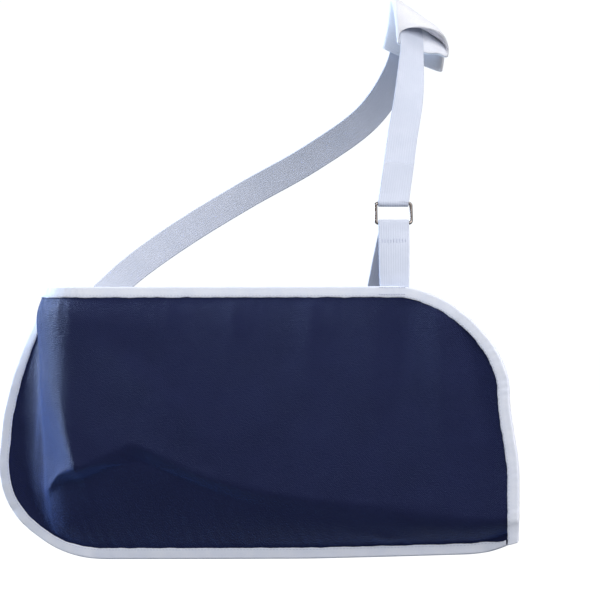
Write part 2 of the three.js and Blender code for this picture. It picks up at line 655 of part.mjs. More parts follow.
// Strap: its end sewn back above the ring, round the upper bar, over the shoulder and down behind
function strapStations() {
  const stations = [];
  const lean = (up) => strapLean * Math.max(up - barRise, 0);
  const fixed = (up, out) => stations.push({ point: nearRing(up, out, lean(up)), across: sideways });
  fixed(barRise + foldBack, layerHalf);
  fixed(barRise + (foldBack + joinRise) / 2, layerHalf);
  fixed(barRise + joinRise, layerHalf);
  fixed(barRise + joinRise / 2, (layerHalf + barTurn) / 2);
  for (let i = 0; i <= 8; i += 1) {
    const turn = Math.PI * (i / 8);
    fixed(barRise - Math.sin(turn) * barTurn, Math.cos(turn) * barTurn);
  }
  fixed(barRise + joinRise / 2, -(layerHalf + barTurn) / 2);
  fixed(barRise + joinRise, -layerHalf);
  fixed(barRise + (foldBack + joinRise) / 2, -layerHalf);
  const start = nearRing(barRise + foldBack, -layerHalf, lean(barRise + foldBack));
  const standOff = clothThickness / 2 + 2.5 * clearance + tapeThickness + webbingThickness / 2;
  const endDown = backTopInset + webbingWidth / 2 + 1;
  const sewn = [1, 0.75, 0.5, 0.25, 0].map((share) => besidePanel('back', backSurface,
    strapEndInset + strapEndOverlap * share, endDown, standOff));
  const bar = nearRing(barRise, 0);
  const place = (x, y, z) => new THREE.Vector3(x, y, z);
  const knots = [{ point: start, face: ringOut }];
  frontRoute.forEach((row) => knots.push({
    point: place(
      THREE.MathUtils.lerp(bar.x, crest.x, row.aside),
      THREE.MathUtils.lerp(crest.y, bar.y, row.forward),
      THREE.MathUtils.lerp(bar.z, crest.z, row.up),
    ),
    face: place(row.faceX, row.faceY, row.faceZ),
  }));
  knots.push({ point: crest, face: crestOut });
  backRoute.forEach((row) => knots.push({
    point: place(
      THREE.MathUtils.lerp(crest.x, sewn[0].point.x, row.across),
      row.behind * strapSpread,
      THREE.MathUtils.lerp(crest.z, sewn[0].point.z, row.down),
    ),
    face: place(row.faceX, row.faceY, row.faceZ),
  }));
  sewn.forEach((end) => knots.push({ point: end.point, face: end.outwards }));
  const curve = new THREE.CatmullRomCurve3(knots.map((knot) => knot.point), false, 'centripetal');
  const steps = 5;
  const crestKnot = frontRoute.length + 1;
  const total = (knots.length - 1) * steps;
  let crestIndex = 0;
  for (let i = 0; i <= total; i += 1) {
    const share = i / total;
    const knot = Math.min(Math.floor(i / steps), knots.length - 2);
    const face = knots[knot].face.clone().lerp(knots[knot + 1].face, i / steps - knot);
    if (i === crestKnot * steps) crestIndex = stations.length;
    stations.push({ point: curve.getPoint(share), across: curve.getTangent(share).cross(face).normalize() });
  }
  return { stations, crestIndex };
}

// Pad: a flattened tube of two layers, whose upper layer lifts at its front end
function neckPad(stations, crestIndex) {
  const sides = 20;
  const endFlatness = 0.7;
  const outerFlatness = 0.45;
  const slotFlatness = 0.2;
  const outerRings = [];
  const innerRings = [];
  let reach = 0;
  const chosen = [{ index: crestIndex, reach: 0 }];
  for (let i = crestIndex; reach < padBack; i += 1) {
    reach += stations[i].point.distanceTo(stations[i + 1].point);
    chosen.push({ index: i + 1, reach });
  }
  reach = 0;
  for (let i = crestIndex; reach < padFront; i -= 1) {
    reach += stations[i].point.distanceTo(stations[i - 1].point);
    chosen.unshift({ index: i - 1, reach: -reach });
  }
  chosen.forEach(({ index, reach: from }) => {
    const run = stations[index + 1].point.clone().sub(stations[index - 1].point).normalize();
    const across = stations[index].across.clone();
    across.addScaledVector(run, -across.dot(run)).normalize();
    const out = across.clone().cross(run);
    const forward = Math.max(-from / padFront, 0);
    const middle = stations[index].point.clone().addScaledVector(across, padOffset + mouthShift * forward);
    const lift = mouthArch * Math.pow(forward, 1.5);
    const halfPad = (padWidth - mouthTaper * forward) / 2;
    const section = (halfWidth, halfHeight, flatness) => {
      const ring = [];
      for (let j = 0; j < sides; j += 1) {
        const turn = (j / sides) * 2 * Math.PI;
        const wide = power(Math.cos(turn), endFlatness) * halfWidth;
        const high = power(Math.sin(turn), flatness) * halfHeight;
        const upper = Math.max(power(Math.sin(turn), flatness), 0);
        const arch = upper * lift * (1 - Math.pow(wide / halfWidth, 2));
        ring.push(middle.clone().addScaledVector(across, wide).addScaledVector(out, high + arch)
          .addScaledVector(run, upper * mouthRetract * forward));
      }
      return ring;
    };
    outerRings.push(section(halfPad, padSlot / 2 + padLayer, outerFlatness));
    innerRings.push(section(halfPad - padEdge, padSlot / 2, slotFlatness));
  });
  return tube('neck_pad', outerRings, innerRings, whitePad);
}

// A power that keeps its number's sign
function power(number, exponent) {
  return Math.sign(number) * Math.pow(Math.abs(number) < 1e-9 ? 0 : Math.abs(number), exponent);
}

// An open-ended tube between an outer and an inner row of rings
function tube(name, outerRings, innerRings, material) {
  const count = outerRings[0].length;
  const total = outerRings.length * count;
  const points = outerRings.flat().concat(innerRings.flat());
  const faces = [];
  const quad = (a, b, c, d) => faces.push([a, b, c], [a, c, d]);
  for (let j = 0; j < count; j += 1) {
    const k = (j + 1) % count;
    for (let i = 0; i < outerRings.length - 1; i += 1) {
      const low = i * count;
      const high = low + count;
      quad(low + j, high + j, high + k, low + k);
      quad(total + low + k, total + high + k, total + high + j, total + low + j);
    }
    const last = (outerRings.length - 1) * count;
    quad(j, k, total + k, total + j);
    quad(last + k, last + j, total + last + j, total + last + k);
  }
  return solid(name, points, faces, material);
}

const strap = strapStations();
const sling = new THREE.Group();
sling.add(panel('front_panel', frontSurface));
sling.add(panel('back_panel', backSurface));
sling.add(frontBinding());
sling.add(backBinding());
sling.add(seamBinding());
sling.add(webbing('ring_loop', tabStations(), whiteWebbing));
sling.add(wireRing());
sling.add(webbing('shoulder_strap', strap.stations, whiteWebbing));
sling.add(neckPad(strap.stations, strap.crestIndex));

export default sling;
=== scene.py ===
import bmesh
import bpy
import numpy as np
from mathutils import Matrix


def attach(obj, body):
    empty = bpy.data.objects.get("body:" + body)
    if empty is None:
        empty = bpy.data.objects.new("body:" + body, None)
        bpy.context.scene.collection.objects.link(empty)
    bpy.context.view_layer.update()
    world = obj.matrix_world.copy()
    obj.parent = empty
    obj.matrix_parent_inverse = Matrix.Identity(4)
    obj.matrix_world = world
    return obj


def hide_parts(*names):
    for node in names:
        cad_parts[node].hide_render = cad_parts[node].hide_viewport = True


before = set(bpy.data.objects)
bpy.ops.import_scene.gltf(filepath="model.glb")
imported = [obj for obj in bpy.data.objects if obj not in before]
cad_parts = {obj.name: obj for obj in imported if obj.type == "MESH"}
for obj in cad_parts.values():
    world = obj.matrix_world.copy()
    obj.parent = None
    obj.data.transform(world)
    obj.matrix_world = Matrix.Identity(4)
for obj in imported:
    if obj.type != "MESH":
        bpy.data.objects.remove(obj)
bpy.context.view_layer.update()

# Camera, floor and light
# A long lens looks level at the sling from the front. The sling hangs free over a wide pale floor,
# in soft light from the front and a cool light from the left and behind.
METRE = 0.001  # metres in a millimetre
SLING_MIDDLE = (-0.14, -0.05, -0.30)
scene = bpy.context.scene
scene.view_settings.view_transform = "Standard"


def add_object(name, data):
    """Links an object, and gives what it shows the same name."""
    data.name = name
    item = bpy.data.objects.new(name, data)
    scene.collection.objects.link(item)
    return item


camera_data = bpy.data.cameras.new("lens")
camera_data.sensor_width = 36
camera_data.lens = 160.5
camera = add_object("camera", camera_data)
camera.location = (-0.098, -2.3, -0.237)
camera.rotation_euler = (np.pi / 2, 0, 0)
scene.camera = camera


def grid_mesh(points, wrap_rows=False, wrap_columns=False, uv=None):
    """Mesh of a grid of points, rows by columns by 3, in millimetres: one quad between four neighbours.
    A wrapped side joins its last line to its first. uv gives two lengths for each point, in millimetres."""
    rows, columns = points.shape[:2]
    index = np.arange(rows * columns).reshape(rows, columns)
    if wrap_rows:
        index = np.vstack([index, index[:1]])
    if wrap_columns:
        index = np.hstack([index, index[:, :1]])
    quads = np.stack([index[:-1, :-1], index[1:, :-1], index[1:, 1:], index[:-1, 1:]], -1).reshape(-1, 4)
    return quad_mesh(points.reshape(-1, 3), quads, None if uv is None else uv.reshape(-1, 2))


def quad_mesh(points, quads, uv=None, outwards=True):
    """Mesh of smooth quads between points in millimetres. The faces are turned outwards: the volume
    that they close, the sum of their middles times their area vectors, has to be positive."""
    corners = points[quads]
    cross = np.cross(corners[:, 2] - corners[:, 0], corners[:, 3] - corners[:, 1])
    if outwards and np.einsum("ij,ij->", corners.mean(1) - points.mean(0), cross) < 0:
        quads = quads[:, ::-1]
    mesh = bpy.data.meshes.new("grid")
    mesh.vertices.add(len(points))
    mesh.vertices.foreach_set("co", (points * METRE).ravel().astype(np.float32))
    mesh.loops.add(quads.size)
    mesh.loops.foreach_set("vertex_index", quads.ravel().astype(np.int32))
    mesh.polygons.add(len(quads))
    mesh.polygons.foreach_set("loop_start", np.arange(0, quads.size, 4, dtype=np.int32))
    mesh.polygons.foreach_set("loop_total", np.full(len(quads), 4, np.int32))
    mesh.polygons.foreach_set("use_smooth", np.ones(len(quads), bool))
    if uv is not None:
        layer = mesh.uv_layers.new(name="cloth")
        layer.data.foreach_set("uv", (uv[quads.ravel()] * METRE).ravel().astype(np.float32))
    mesh.update(calc_edges=True)
    return mesh


def fill_inputs(node, inputs):
    """Sets a shader node's inputs, or links them where a node's output is given."""
    for key, value in inputs.items():
        if isinstance(value, bpy.types.NodeSocket):
            node.id_data.links.new(value, node.inputs[key])
        else:
            node.inputs[key].default_value = value


def node_maker(tree):
    """Returns a function that adds a node, sets its properties and inputs, and returns it."""
    def add(kind, inputs=None, **settings):
        node = tree.nodes.new(kind)
        for key, value in settings.items():
            setattr(node, key, value)
        fill_inputs(node, inputs or {})
        return node
    return add


def principled(name, colour, roughness):
    """A new material of one Principled BSDF, and its shader."""
    material = bpy.data.materials.new(name)
    material.use_nodes = True
    shader = material.node_tree.nodes["Principled BSDF"]
    fill_inputs(shader, {"Base Color": (*colour, 1), "Roughness": roughness})
    return material, shader


def camera_ray(tree):
    """Shader output that is 1 where the camera itself looks, and 0 for the light on other surfaces."""
    return tree.nodes.new("ShaderNodeLightPath").outputs["Is Camera Ray"]


def soft_light(name, size, watts, place, colour):
    """A square area light at a place, turned to the middle of the sling."""
    data = bpy.data.lights.new(name, "AREA")
    data.size = size
    data.energy = watts
    data.color = colour
    lamp = add_object(name, data)
    lamp.location = place
    away = np.array(place) - SLING_MIDDLE
    tilt = np.arccos(away[2] / np.linalg.norm(away))
    lamp.rotation_euler = (tilt, 0, np.arctan2(away[1], away[0]) + np.pi / 2)


FLOOR_HEIGHT, FLOOR_REACH = -640.0, 9000.0
floor_sides = np.array([-FLOOR_REACH, FLOOR_REACH])
floor_points = np.stack(np.broadcast_arrays(floor_sides[:, None], floor_sides[::-1], FLOOR_HEIGHT), -1)
floor = add_object("floor", grid_mesh(floor_points))
floor_paint, floor_shader = principled("floor_paint", (0.14, 0.145, 0.15), 0.9)
floor_seen = camera_ray(floor_paint.node_tree)
fill_inputs(floor_shader, {"Emission Color": (1, 1, 1, 1), "Emission Strength": floor_seen})
floor.data.materials.append(floor_paint)

world = bpy.data.worlds.new("studio")
world.use_nodes = True
world_seen = {"Value": camera_ray(world.node_tree), "To Min": 0.34, "To Max": 1.1}
brightness = node_maker(world.node_tree)("ShaderNodeMapRange", world_seen).outputs[0]
background = world.node_tree.nodes["Background"]
fill_inputs(background, {"Color": (0.93, 0.96, 1.0, 1), "Strength": brightness})
scene.world = world
soft_light("key_light", 1.3, 37, (1.6, -2.1, 1.1), (1.0, 0.99, 0.98))
soft_light("top_light", 1.2, 13, (0.8, -0.5, 1.9), (1.0, 0.99, 0.99))
soft_light("fill_light", 1.8, 35, (0.15, -2.8, 1.1), (0.95, 0.97, 1.0))
soft_light("rim_light", 0.7, 68, (-1.80, 0.74, 0.28), (0.62, 0.77, 1.0))

# Front panel
# Navy cloth with a smooth woven face, cut as one flat piece. It runs from the elbow seam round the
# elbow end, then flat to the hand end, and turns under to the bottom seam.
POUCH_TOP, POUCH_HEIGHT = 226.0, 232.0
ELBOW_REACH, POUCH_WIDTH = 357.0, 432.0
ELBOW_RADIUS, ELBOW_DEPTH, ELBOW_WRAP = 48.0, -18.0, 107.0
HAND_FORWARD, HAND_GAP = 172.0, 40.0
CLOTH, TAPE_WIDTH, TAPE, GAP = 1.4, 8.2, 0.9, 0.35
TAPE_MARGIN, SEAM_GAP = 1.6, 0.6
ELBOW_CORNER = {"length": 124.0, "height": 84.0, "power": 2.35}
HAND_CORNER = {"length": 105.0, "height": 92.0, "power": 1.8}
HAND_SLANT, SLANT_END, HAND_FAN = 8.0, 0.74, 88.0
FULL_DEPTH = 0.6
SEAM_ALLOWANCE = TAPE_WIDTH + TAPE + GAP

# The elbow seam in plan, by share of the depth: its place in radii of the round, and the angles in degrees
# at which the two panels leave the round. Then the pouch's form lengthwise, and the gather of its top.
elbow_seam = {
    "down": [0.00, 0.07, 0.14, 0.23, 0.34, 0.48, 0.64, 1.00],
    "out": [0.88, 0.98, 1.10, 1.29, 1.48, 1.64, 1.71, 1.71],
    "behind": [1.08, 1.01, 0.92, 0.81, 0.70, 0.60, 0.56, 0.56],
    "front_root": [-202, -200, -197, -193, -189, -186, -184, -184],
    "back_root": [110, 114, 120, 128, 136, 145, 150, 150],
}
lengthwise = {
    "along": [0.00, 0.10, 0.21, 0.33, 0.45, 0.63, 0.77, 0.93, 0.97, 1.00],
    "height": [1.000, 1.000, 1.000, 0.990, 0.980, 0.964, 0.946, 0.924, 0.905, 0.872],
    "belly": [0.13, 0.16, 0.35, 0.35, 0.32, 0.24, 0.19, 0.14, 0.12, 0.11],
    "roundness": [1.15, 1.15, 1.20, 1.40, 1.60, 1.80, 1.80, 1.80, 1.80, 1.80],
    "top_fullness": [1.00, 1.00, 0.98, 0.84, 0.74, 0.68, 0.68, 0.72, 0.74, 0.74],
}
top_gather = {"down": [0.00, 0.04, 0.07, 0.12, 1.00], "radius": [0.84, 0.88, 0.95, 1.00, 1.00]}


def column(table, key, place, name, soft=0.02):
    """A column of a table at a place: straight between its rows, then the mean of a short stretch."""
    steps = np.linspace(-soft, soft, 5)
    return np.mean([np.interp(place + step, table[key], table[name]) for step in steps], axis=0)


def smoothstep(value, low, high):
    """0 below low, 1 above high, and a smooth rise 3t² − 2t³ between them."""
    t = np.clip((value - low) / (high - low), 0, 1)
    return t * t * (3 - 2 * t)


def mix(low, high, share):
    """The value that lies a share of the way from low to high."""
    return low + (high - low) * share


def between(start, end, share):
    """The point that lies a share of the way from one point to another, for a whole array of shares."""
    return start + (end - start) * np.asarray(share)[..., None]


def unit(vectors):
    """Vectors of length one in the same directions."""
    return vectors / np.linalg.norm(vectors, axis=-1, keepdims=True)


def square_to(run, across):
    """Directions across, turned until they are square to the run."""
    return unit(across - np.sum(across * run, -1, keepdims=True) * run)


def laid_out(middles, *parts):
    """Rows of points: to each middle is added, for each part, its direction times each of its amounts."""
    rows = middles[:, None]
    for direction, amount in parts:
        rows = rows + direction[:, None] * amount[..., None]
    return rows


elbow_centre = np.array([-ELBOW_REACH + elbow_seam["out"][-1] * ELBOW_RADIUS, ELBOW_DEPTH])
hand_x = -ELBOW_REACH + POUCH_WIDTH
hand_middle = np.array([hand_x, -HAND_FORWARD])
hand_front = np.array([hand_x, -HAND_FORWARD - HAND_GAP / 2])
hand_back = np.array([hand_x, -HAND_FORWARD + HAND_GAP / 2])


def on_round(angle, radius):
    """Point of the elbow end's round, in plan: its centre plus radius times (cos, sin) of the angle."""
    angle, radius = np.broadcast_arrays(angle, radius)
    return elbow_centre + radius[..., None] * np.stack([np.cos(angle), np.sin(angle)], -1)


def touch_angle(hand, side):
    """Angle on the round where a line from the hand end touches it: the bearing of the hand end plus
    or minus acos(radius / reach)."""
    reach = hand - elbow_centre
    return np.arctan2(reach[1], reach[0]) + side * np.arccos(ELBOW_RADIUS / np.linalg.norm(reach))


front_touch = touch_angle(hand_front, -1)
back_touch = touch_angle(hand_back, 1)
middle_touch = (on_round(front_touch, ELBOW_RADIUS) + on_round(back_touch, ELBOW_RADIUS)) / 2
flat_length = np.linalg.norm(hand_front - on_round(front_touch, ELBOW_RADIUS))
cloth_length = ELBOW_WRAP + flat_length


def plan_points(along, down):
    """Seam plane, front panel and back panel in plan, at a place along the cloth and down it: first a fin
    from the seam to the round, then round the elbow end, then straight to the hand end."""
    share = down / POUCH_HEIGHT
    radius = ELBOW_RADIUS * column(top_gather, "down", share, "radius")
    out = column(elbow_seam, "down", share, "out")
    behind = column(elbow_seam, "down", share, "behind")
    seam = elbow_centre + ELBOW_RADIUS * np.stack([-out, behind], -1)
    front_angle = np.radians(column(elbow_seam, "down", share, "front_root"))
    back_angle = np.radians(column(elbow_seam, "down", share, "back_root"))
    front_root = on_round(front_angle, radius)
    back_root = on_round(back_angle, ELBOW_RADIUS)
    middle_root = (front_root + back_root) / 2
    fin = np.linalg.norm(seam - middle_root, axis=-1)
    opening = smoothstep(along, SEAM_ALLOWANCE + TAPE_MARGIN, fin)[..., None]
    fin_middle = between(seam, middle_root, along / fin)
    fin_points = [fin_middle, fin_middle + (front_root - middle_root) * opening,
                  fin_middle + (back_root - middle_root) * opening]
    turned = (along - fin) / (ELBOW_WRAP - fin)
    round_points = [between(middle_root, middle_touch, turned),
                    on_round(mix(front_angle, front_touch, turned), radius),
                    on_round(mix(back_angle, back_touch, turned), ELBOW_RADIUS)]
    run = (along - ELBOW_WRAP) / flat_length
    flat_points = [between(middle_touch, hand_middle, run),
                   between(on_round(front_touch, radius), hand_front, run),
                   between(on_round(back_touch, ELBOW_RADIUS), hand_back, run)]
    zone = np.where(along < fin, 0, np.where(along < ELBOW_WRAP, 1, 2))[..., None]
    return [np.choose(zone, choice) for choice in zip(fin_points, round_points, flat_points)]


def corner_drop(distance, corner):
    """Fall of an edge as a place nears the end of a corner, a superellipse of the corner's power."""
    share = np.clip(distance / corner["length"], 0, 1)
    return corner["height"] * (1 - (1 - share ** corner["power"]) ** (1 / corner["power"]))


def top_edge(along, inset, top_inset, hand_end):
    """Depth of a panel's top edge at a place along it, where its cut edge lies inset from its outline."""
    return top_inset + inset + corner_drop(along - (hand_end - inset - HAND_CORNER["length"]), HAND_CORNER)


def bottom_edge(along, inset):
    """Depth of a panel's bottom edge at a place along it."""
    return POUCH_HEIGHT - inset - corner_drop(ELBOW_CORNER["length"] + inset - along, ELBOW_CORNER)


def hand_slant(along, down, hand_end):
    """How far the hand edge leans in above its lower part, growing over the last stretch of the cloth."""
    ramp = np.clip((along - (cloth_length - HAND_FAN)) / (hand_end - (cloth_length - HAND_FAN)), 0, 1)
    return HAND_SLANT * ramp * (1 - smoothstep(down, HAND_CORNER["height"], SLANT_END * POUCH_HEIGHT))


EDGE_INSET = TAPE + GAP
seam_along = np.concatenate([np.linspace(cloth_length, EDGE_INSET, 160), np.full(30, EDGE_INSET)])
seam_down = np.concatenate([bottom_edge(seam_along[:160], EDGE_INSET),
                            np.linspace(POUCH_HEIGHT - ELBOW_CORNER["height"], 0, 30)])
seam_line = np.stack([seam_along, seam_down], -1)


def seam_distance(along, down):
    """Shortest distance in the flat cloth from a place to the sewn seam, a line of straight pieces."""
    nearest = np.full(np.shape(along), np.inf)
    for start, end in zip(seam_line[:-1], seam_line[1:]):
        step = end - start
        share = ((along - start[0]) * step[0] + (down - start[1]) * step[1]) / max(step @ step, 1e-9)
        share = np.clip(share, 0, 1)
        gap = np.hypot(along - start[0] - share * step[0], down - start[1] - share * step[1])
        nearest = np.minimum(nearest, gap)
    return nearest


def panel_point(side, along, down, from_seam):
    """A panel's drafted surface. In plan it lies between the seam plane and the panel's full place, by
    fullness = (1 − under ^ roundness) times the top's share, where under grows from the belly line
    to the tape."""
    plan = plan_points(along, down)
    place = along / cloth_length
    belly = column(lengthwise, "along", place, "belly") * POUCH_HEIGHT
    under = np.clip((belly - from_seam) / (belly - TAPE_WIDTH - TAPE_MARGIN), 0, 1)
    turned_in = 1 - under ** column(lengthwise, "along", place, "roundness")
    depth = np.clip(down / (POUCH_HEIGHT * FULL_DEPTH), 0, 1)
    upper = mix(column(lengthwise, "along", place, "top_fullness"), 1, np.sin(depth * np.pi / 2))
    full = turned_in * upper
    flat = between(plan[0], plan[1 if side == "front" else 2], full)
    across = unit(plan_points(along + 1, down)[0] - plan[0])
    apart = (CLOTH + SEAM_GAP) / 2 * (1 if side == "front" else -1) * (1 - np.clip(full, 0, 1))
    height = column(lengthwise, "along", place, "height")
    return np.stack([flat[..., 0] + across[..., 1] * apart, flat[..., 1] - across[..., 0] * apart,
                     -POUCH_TOP - down * height], -1)


def cloth_point(side, along, down, soft=7.0):
    """The drafted surface averaged over a short stretch along the cloth, so that its folds turn softly."""
    along, down = np.broadcast_arrays(np.asarray(along, float), np.asarray(down, float))
    from_seam = seam_distance(along, down)
    steps = np.linspace(-soft, soft, 7)
    return np.mean([panel_point(side, along + step, down, from_seam) for step in steps], axis=0)


def cloth_normal(side, along, down):
    """Direction out of the pouch: the cross product of the surface's slopes along and down the cloth."""
    step = 1.5
    lengthways = cloth_point(side, along + step, down) - cloth_point(side, along - step, down)
    downwards = cloth_point(side, along, down + step) - cloth_point(side, along, down - step)
    return unit(np.cross(downwards, lengthways)) * (1 if side == "front" else -1)


# Soft folds of the front: middle, direction of the ridge, half length, half width and height
front_folds = {
    "along": [394, 430, 460, 165, 205, 316, 380, 250],
    "down": [50, 62, 80, 75, 110, 45, 214, 30],
    "angle": [92, 88, 80, 38, 32, 92, 8, 95],
    "length": [60, 70, 60, 48, 60, 45, 20, 30],
    "width": [13, 13, 12, 12, 15, 10, 4, 9],
    "height": [-1.8, 2.6, -2.0, 1.9, 1.6, 1.0, 1.1, 0.8],
}


# The flattened face at the elbow end and the fold under it. A growth is the stretch from none to full.
face_bend = {"down": [9, 53, 95, 121, 151], "along": [106, 102, 98, 104, 113]}
FACE_START, FACE_DEPTH, FACE_POWER, FACE_GROWTH = 34.0, 9.5, 1.3, (75, 150)
RIDGE_HEIGHT, RIDGE_WIDTH = 1.2, 9.0
SINK_DEPTH, SINK_LENGTH, SINK_GROWTH = 4.5, 20.0, (15, 70)
FOLD_REACH, FOLD_SLOPE, FOLD_GROWTH = 40.0, 13.0, (9, 70)
LIP_HEIGHT, LIP_WIDTH, LIP_GROWTH, LIP_FADE = 0.8, 5.0, (40, 70), (100, 130)
fold_line = {
    "along": [20, 112, 165, 222, 268, 340, 430, 490],
    "down": [183, 153, 131, 157, 172, 182, 188, 195],
    "depth": [3, 11, 8, 6.5, 5, 3.5, 2, 0],
}


def folds(table, along, down):
    """Sum of soft ridges, each height times exp(−(crossways / width)² − (lengthways / length)²)."""
    total = np.zeros(np.shape(along))
    for middle_along, middle_down, angle, length, width, height in zip(*table.values()):
        turn_cos, turn_sin = np.cos(np.radians(angle)), np.sin(np.radians(angle))
        lengthways = (along - middle_along) * turn_cos + (down - middle_down) * turn_sin
        crossways = (down - middle_down) * turn_cos - (along - middle_along) * turn_sin
        total += height * np.exp(-(crossways / width) ** 2 - (lengthways / length) ** 2)
    return total


def elbow_face(along, down, from_seam):
    """The flattened face low on the round of the elbow end, and the fold under it. Between its two
    sides the cloth sinks by a power of 1 − share², and the more the lower. The side at the seam is
    drawn in, the other stands up a little, and below the fold line the cloth slopes inwards."""
    bend = np.interp(down, face_bend["down"], face_bend["along"])
    share = np.clip((along - (FACE_START + bend) / 2) / ((bend - FACE_START) / 2), -1, 1)
    lower = smoothstep(down, *FACE_GROWTH)
    sunk = -FACE_DEPTH * (1 - share ** 2) ** FACE_POWER * lower
    drawn_in = -SINK_DEPTH * smoothstep(along, FACE_START - SINK_LENGTH, FACE_START) * (1 - share) / 2
    drawn_in = drawn_in * smoothstep(down, *SINK_GROWTH)
    raised = RIDGE_HEIGHT * np.exp(-((along - bend) / RIDGE_WIDTH) ** 2) * lower
    below = down - column(fold_line, "along", along, "down", 9)
    upper = np.clip(1 - below / FOLD_REACH, 0, 1)
    tucked = -column(fold_line, "along", along, "depth", 9) * np.clip(below / FOLD_SLOPE, 0, 1)
    tucked = tucked * smoothstep(from_seam, *FOLD_GROWTH)
    lip = LIP_HEIGHT * np.exp(-(below / LIP_WIDTH) ** 2)
    lip = lip * smoothstep(along, *LIP_GROWTH) * (1 - smoothstep(along, *LIP_FADE))
    return (sunk + drawn_in + raised) * upper + tucked + lip


def random_waves(along, down, seed, count, wavelengths, leans=None):
    """Small unevenness of about unit height: a sum of sines along the cloth, of random wavelength, lean
    and start. leans is the range of their slant down the cloth."""
    rng = np.random.default_rng(seed)
    total = np.zeros(np.shape(along))
    for _ in range(count):
        wavelength = rng.uniform(*wavelengths)
        lean = rng.uniform(*leans) if leans else 0
        total += np.sin((along + lean * down) * 2 * np.pi / wavelength + rng.uniform(0, 2 * np.pi))
    return total / np.sqrt(count)


def panel_grid(top_inset, hand_inset):
    """Places along and down the cloth: 300 columns spread so that both edges are sampled evenly, and
    104 rows in equal shares between the two edges. The hand edge leans as its outline does."""
    hand_end = cloth_length - hand_inset
    fine = np.linspace(EDGE_INSET, hand_end - EDGE_INSET, 6000)
    top = top_edge(fine, EDGE_INSET, top_inset, hand_end)
    bottom = bottom_edge(fine, EDGE_INSET)
    step = fine[1] - fine[0]
    slope = np.maximum(np.abs(np.gradient(top, step)), np.abs(np.gradient(bottom, step)))
    spread = np.concatenate([[0], np.cumsum(np.sqrt(1 + slope[1:] ** 2))])
    along = np.interp(np.linspace(0, spread[-1], 300), spread, fine)
    share = np.linspace(0, 1, 104)[:, None]
    down = mix(top_edge(along, EDGE_INSET, top_inset, hand_end), bottom_edge(along, EDGE_INSET), share)
    return along - hand_slant(np.broadcast_to(along, down.shape), down, hand_end), down


def woven_group():
    """Shader group of a plain weave on a UV map in metres: the height of its threads, which are
    rounded ridges both ways, made uneven by a slub noise."""
    tree = bpy.data.node_groups.new("woven_threads", "ShaderNodeTree")
    tree.interface.new_socket("UV", in_out="INPUT", socket_type="NodeSocketVector")
    for name in ("Threads along", "Threads across", "Slub"):
        tree.interface.new_socket(name, in_out="INPUT", socket_type="NodeSocketFloat")
    tree.interface.new_socket("Height", in_out="OUTPUT", socket_type="NodeSocketFloat")
    add = node_maker(tree)

    def calculate(operation, *values):
        return add("ShaderNodeMath", dict(enumerate(values)), operation=operation).outputs[0]

    given = add("NodeGroupInput").outputs
    parts = add("ShaderNodeSeparateXYZ", {0: given["UV"]}).outputs
    ridges = []
    for axis, name in enumerate(("Threads along", "Threads across")):
        turns = calculate("MULTIPLY", parts[axis], given[name])
        ridges.append(calculate("SINE", calculate("MULTIPLY", turns, 2 * np.pi)))
    crossed = calculate("MULTIPLY", *ridges)
    noise = add("ShaderNodeTexNoise", {"Vector": given["UV"], "Scale": 800.0, "Detail": 3.0}).outputs["Fac"]
    uneven = calculate("MULTIPLY", calculate("SUBTRACT", noise, 0.5), given["Slub"])
    height = calculate("MULTIPLY_ADD", crossed, 0.25, 0.5)
    add("NodeGroupOutput", {"Height": calculate("ADD", height, uneven)})
    return tree


woven_threads = woven_group()
WHITE = (1.0, 1.0, 1.0)
ROUGHNESS_CHANGE = 0.06


def cloth_material(name, colours, roughness, threads, slub, bump, patch_scale, sheen, sheen_tint=WHITE):
    """Woven cloth: two close colours mixed by a slow noise, which gives random tone, and by the height of
    the weave, which paints shade into the hollows between the threads; a bump of its threads, and a sheen
    of fine loose fibres."""
    material, shader = principled(name, colours[0], roughness)
    tree = material.node_tree
    add = node_maker(tree)
    uv = add("ShaderNodeUVMap", uv_map="cloth").outputs["UV"]
    weave = add("ShaderNodeGroup", {"UV": uv, "Threads along": threads[0], "Threads across": threads[1],
                                    "Slub": slub}, node_tree=woven_threads).outputs["Height"]
    patches = add("ShaderNodeTexNoise", {"Vector": uv, "Scale": patch_scale, "Detail": 5.0,
                                         "Roughness": 0.6})
    # Low weave height, in the hollows between the threads, takes the darker colour: painted shade.
    blend = add("ShaderNodeMath", {0: patches.outputs["Fac"], 1: weave}, operation="MULTIPLY").outputs[0]
    blend_range = {"Value": blend, "From Min": 0.12, "From Max": 0.42}
    spread = add("ShaderNodeMapRange", blend_range)
    colour = add("ShaderNodeMix", {"Factor": spread.outputs[0], "A": (*colours[0], 1),
                                   "B": (*colours[1], 1)}, data_type="RGBA")
    rough = add("ShaderNodeMapRange", {**blend_range, "To Min": roughness - ROUGHNESS_CHANGE,
                                       "To Max": roughness + ROUGHNESS_CHANGE})
    relief = add("ShaderNodeBump", {"Height": weave, "Strength": bump[0], "Distance": bump[1]})
    fill_inputs(shader, {"Base Color": colour.outputs["Result"], "Roughness": rough.outputs[0],
                         "Normal": relief.outputs["Normal"], "Specular IOR Level": 0.12,
                         "Sheen Weight": sheen[0], "Sheen Roughness": sheen[1],
                         "Sheen Tint": (*sheen_tint, 1)})
    return material, shader


pouch_cloth, pouch_shader = cloth_material(
    "pouch_cloth", colours=((0.0105, 0.0120, 0.049), (0.0155, 0.0185, 0.069)), roughness=0.45,
    threads=(640, 640), slub=1.5, bump=(1.0, 0.0006), patch_scale=26.0, sheen=(1.0, 0.3),
    sheen_tint=(0.16, 0.32, 1.0))
fill_inputs(pouch_shader, {"Specular IOR Level": 0.32, "Specular Tint": (0.42, 0.58, 1.0, 1)})


def add_piece(name, mesh, material, replaced):
    """Makes a piece of the sling, which rides on its root and stands for the solids that it replaces."""
    piece = add_object(name, mesh)
    mesh.materials.append(material)
    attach(piece, "root")
    if replaced:
        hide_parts(*replaced)
    return piece


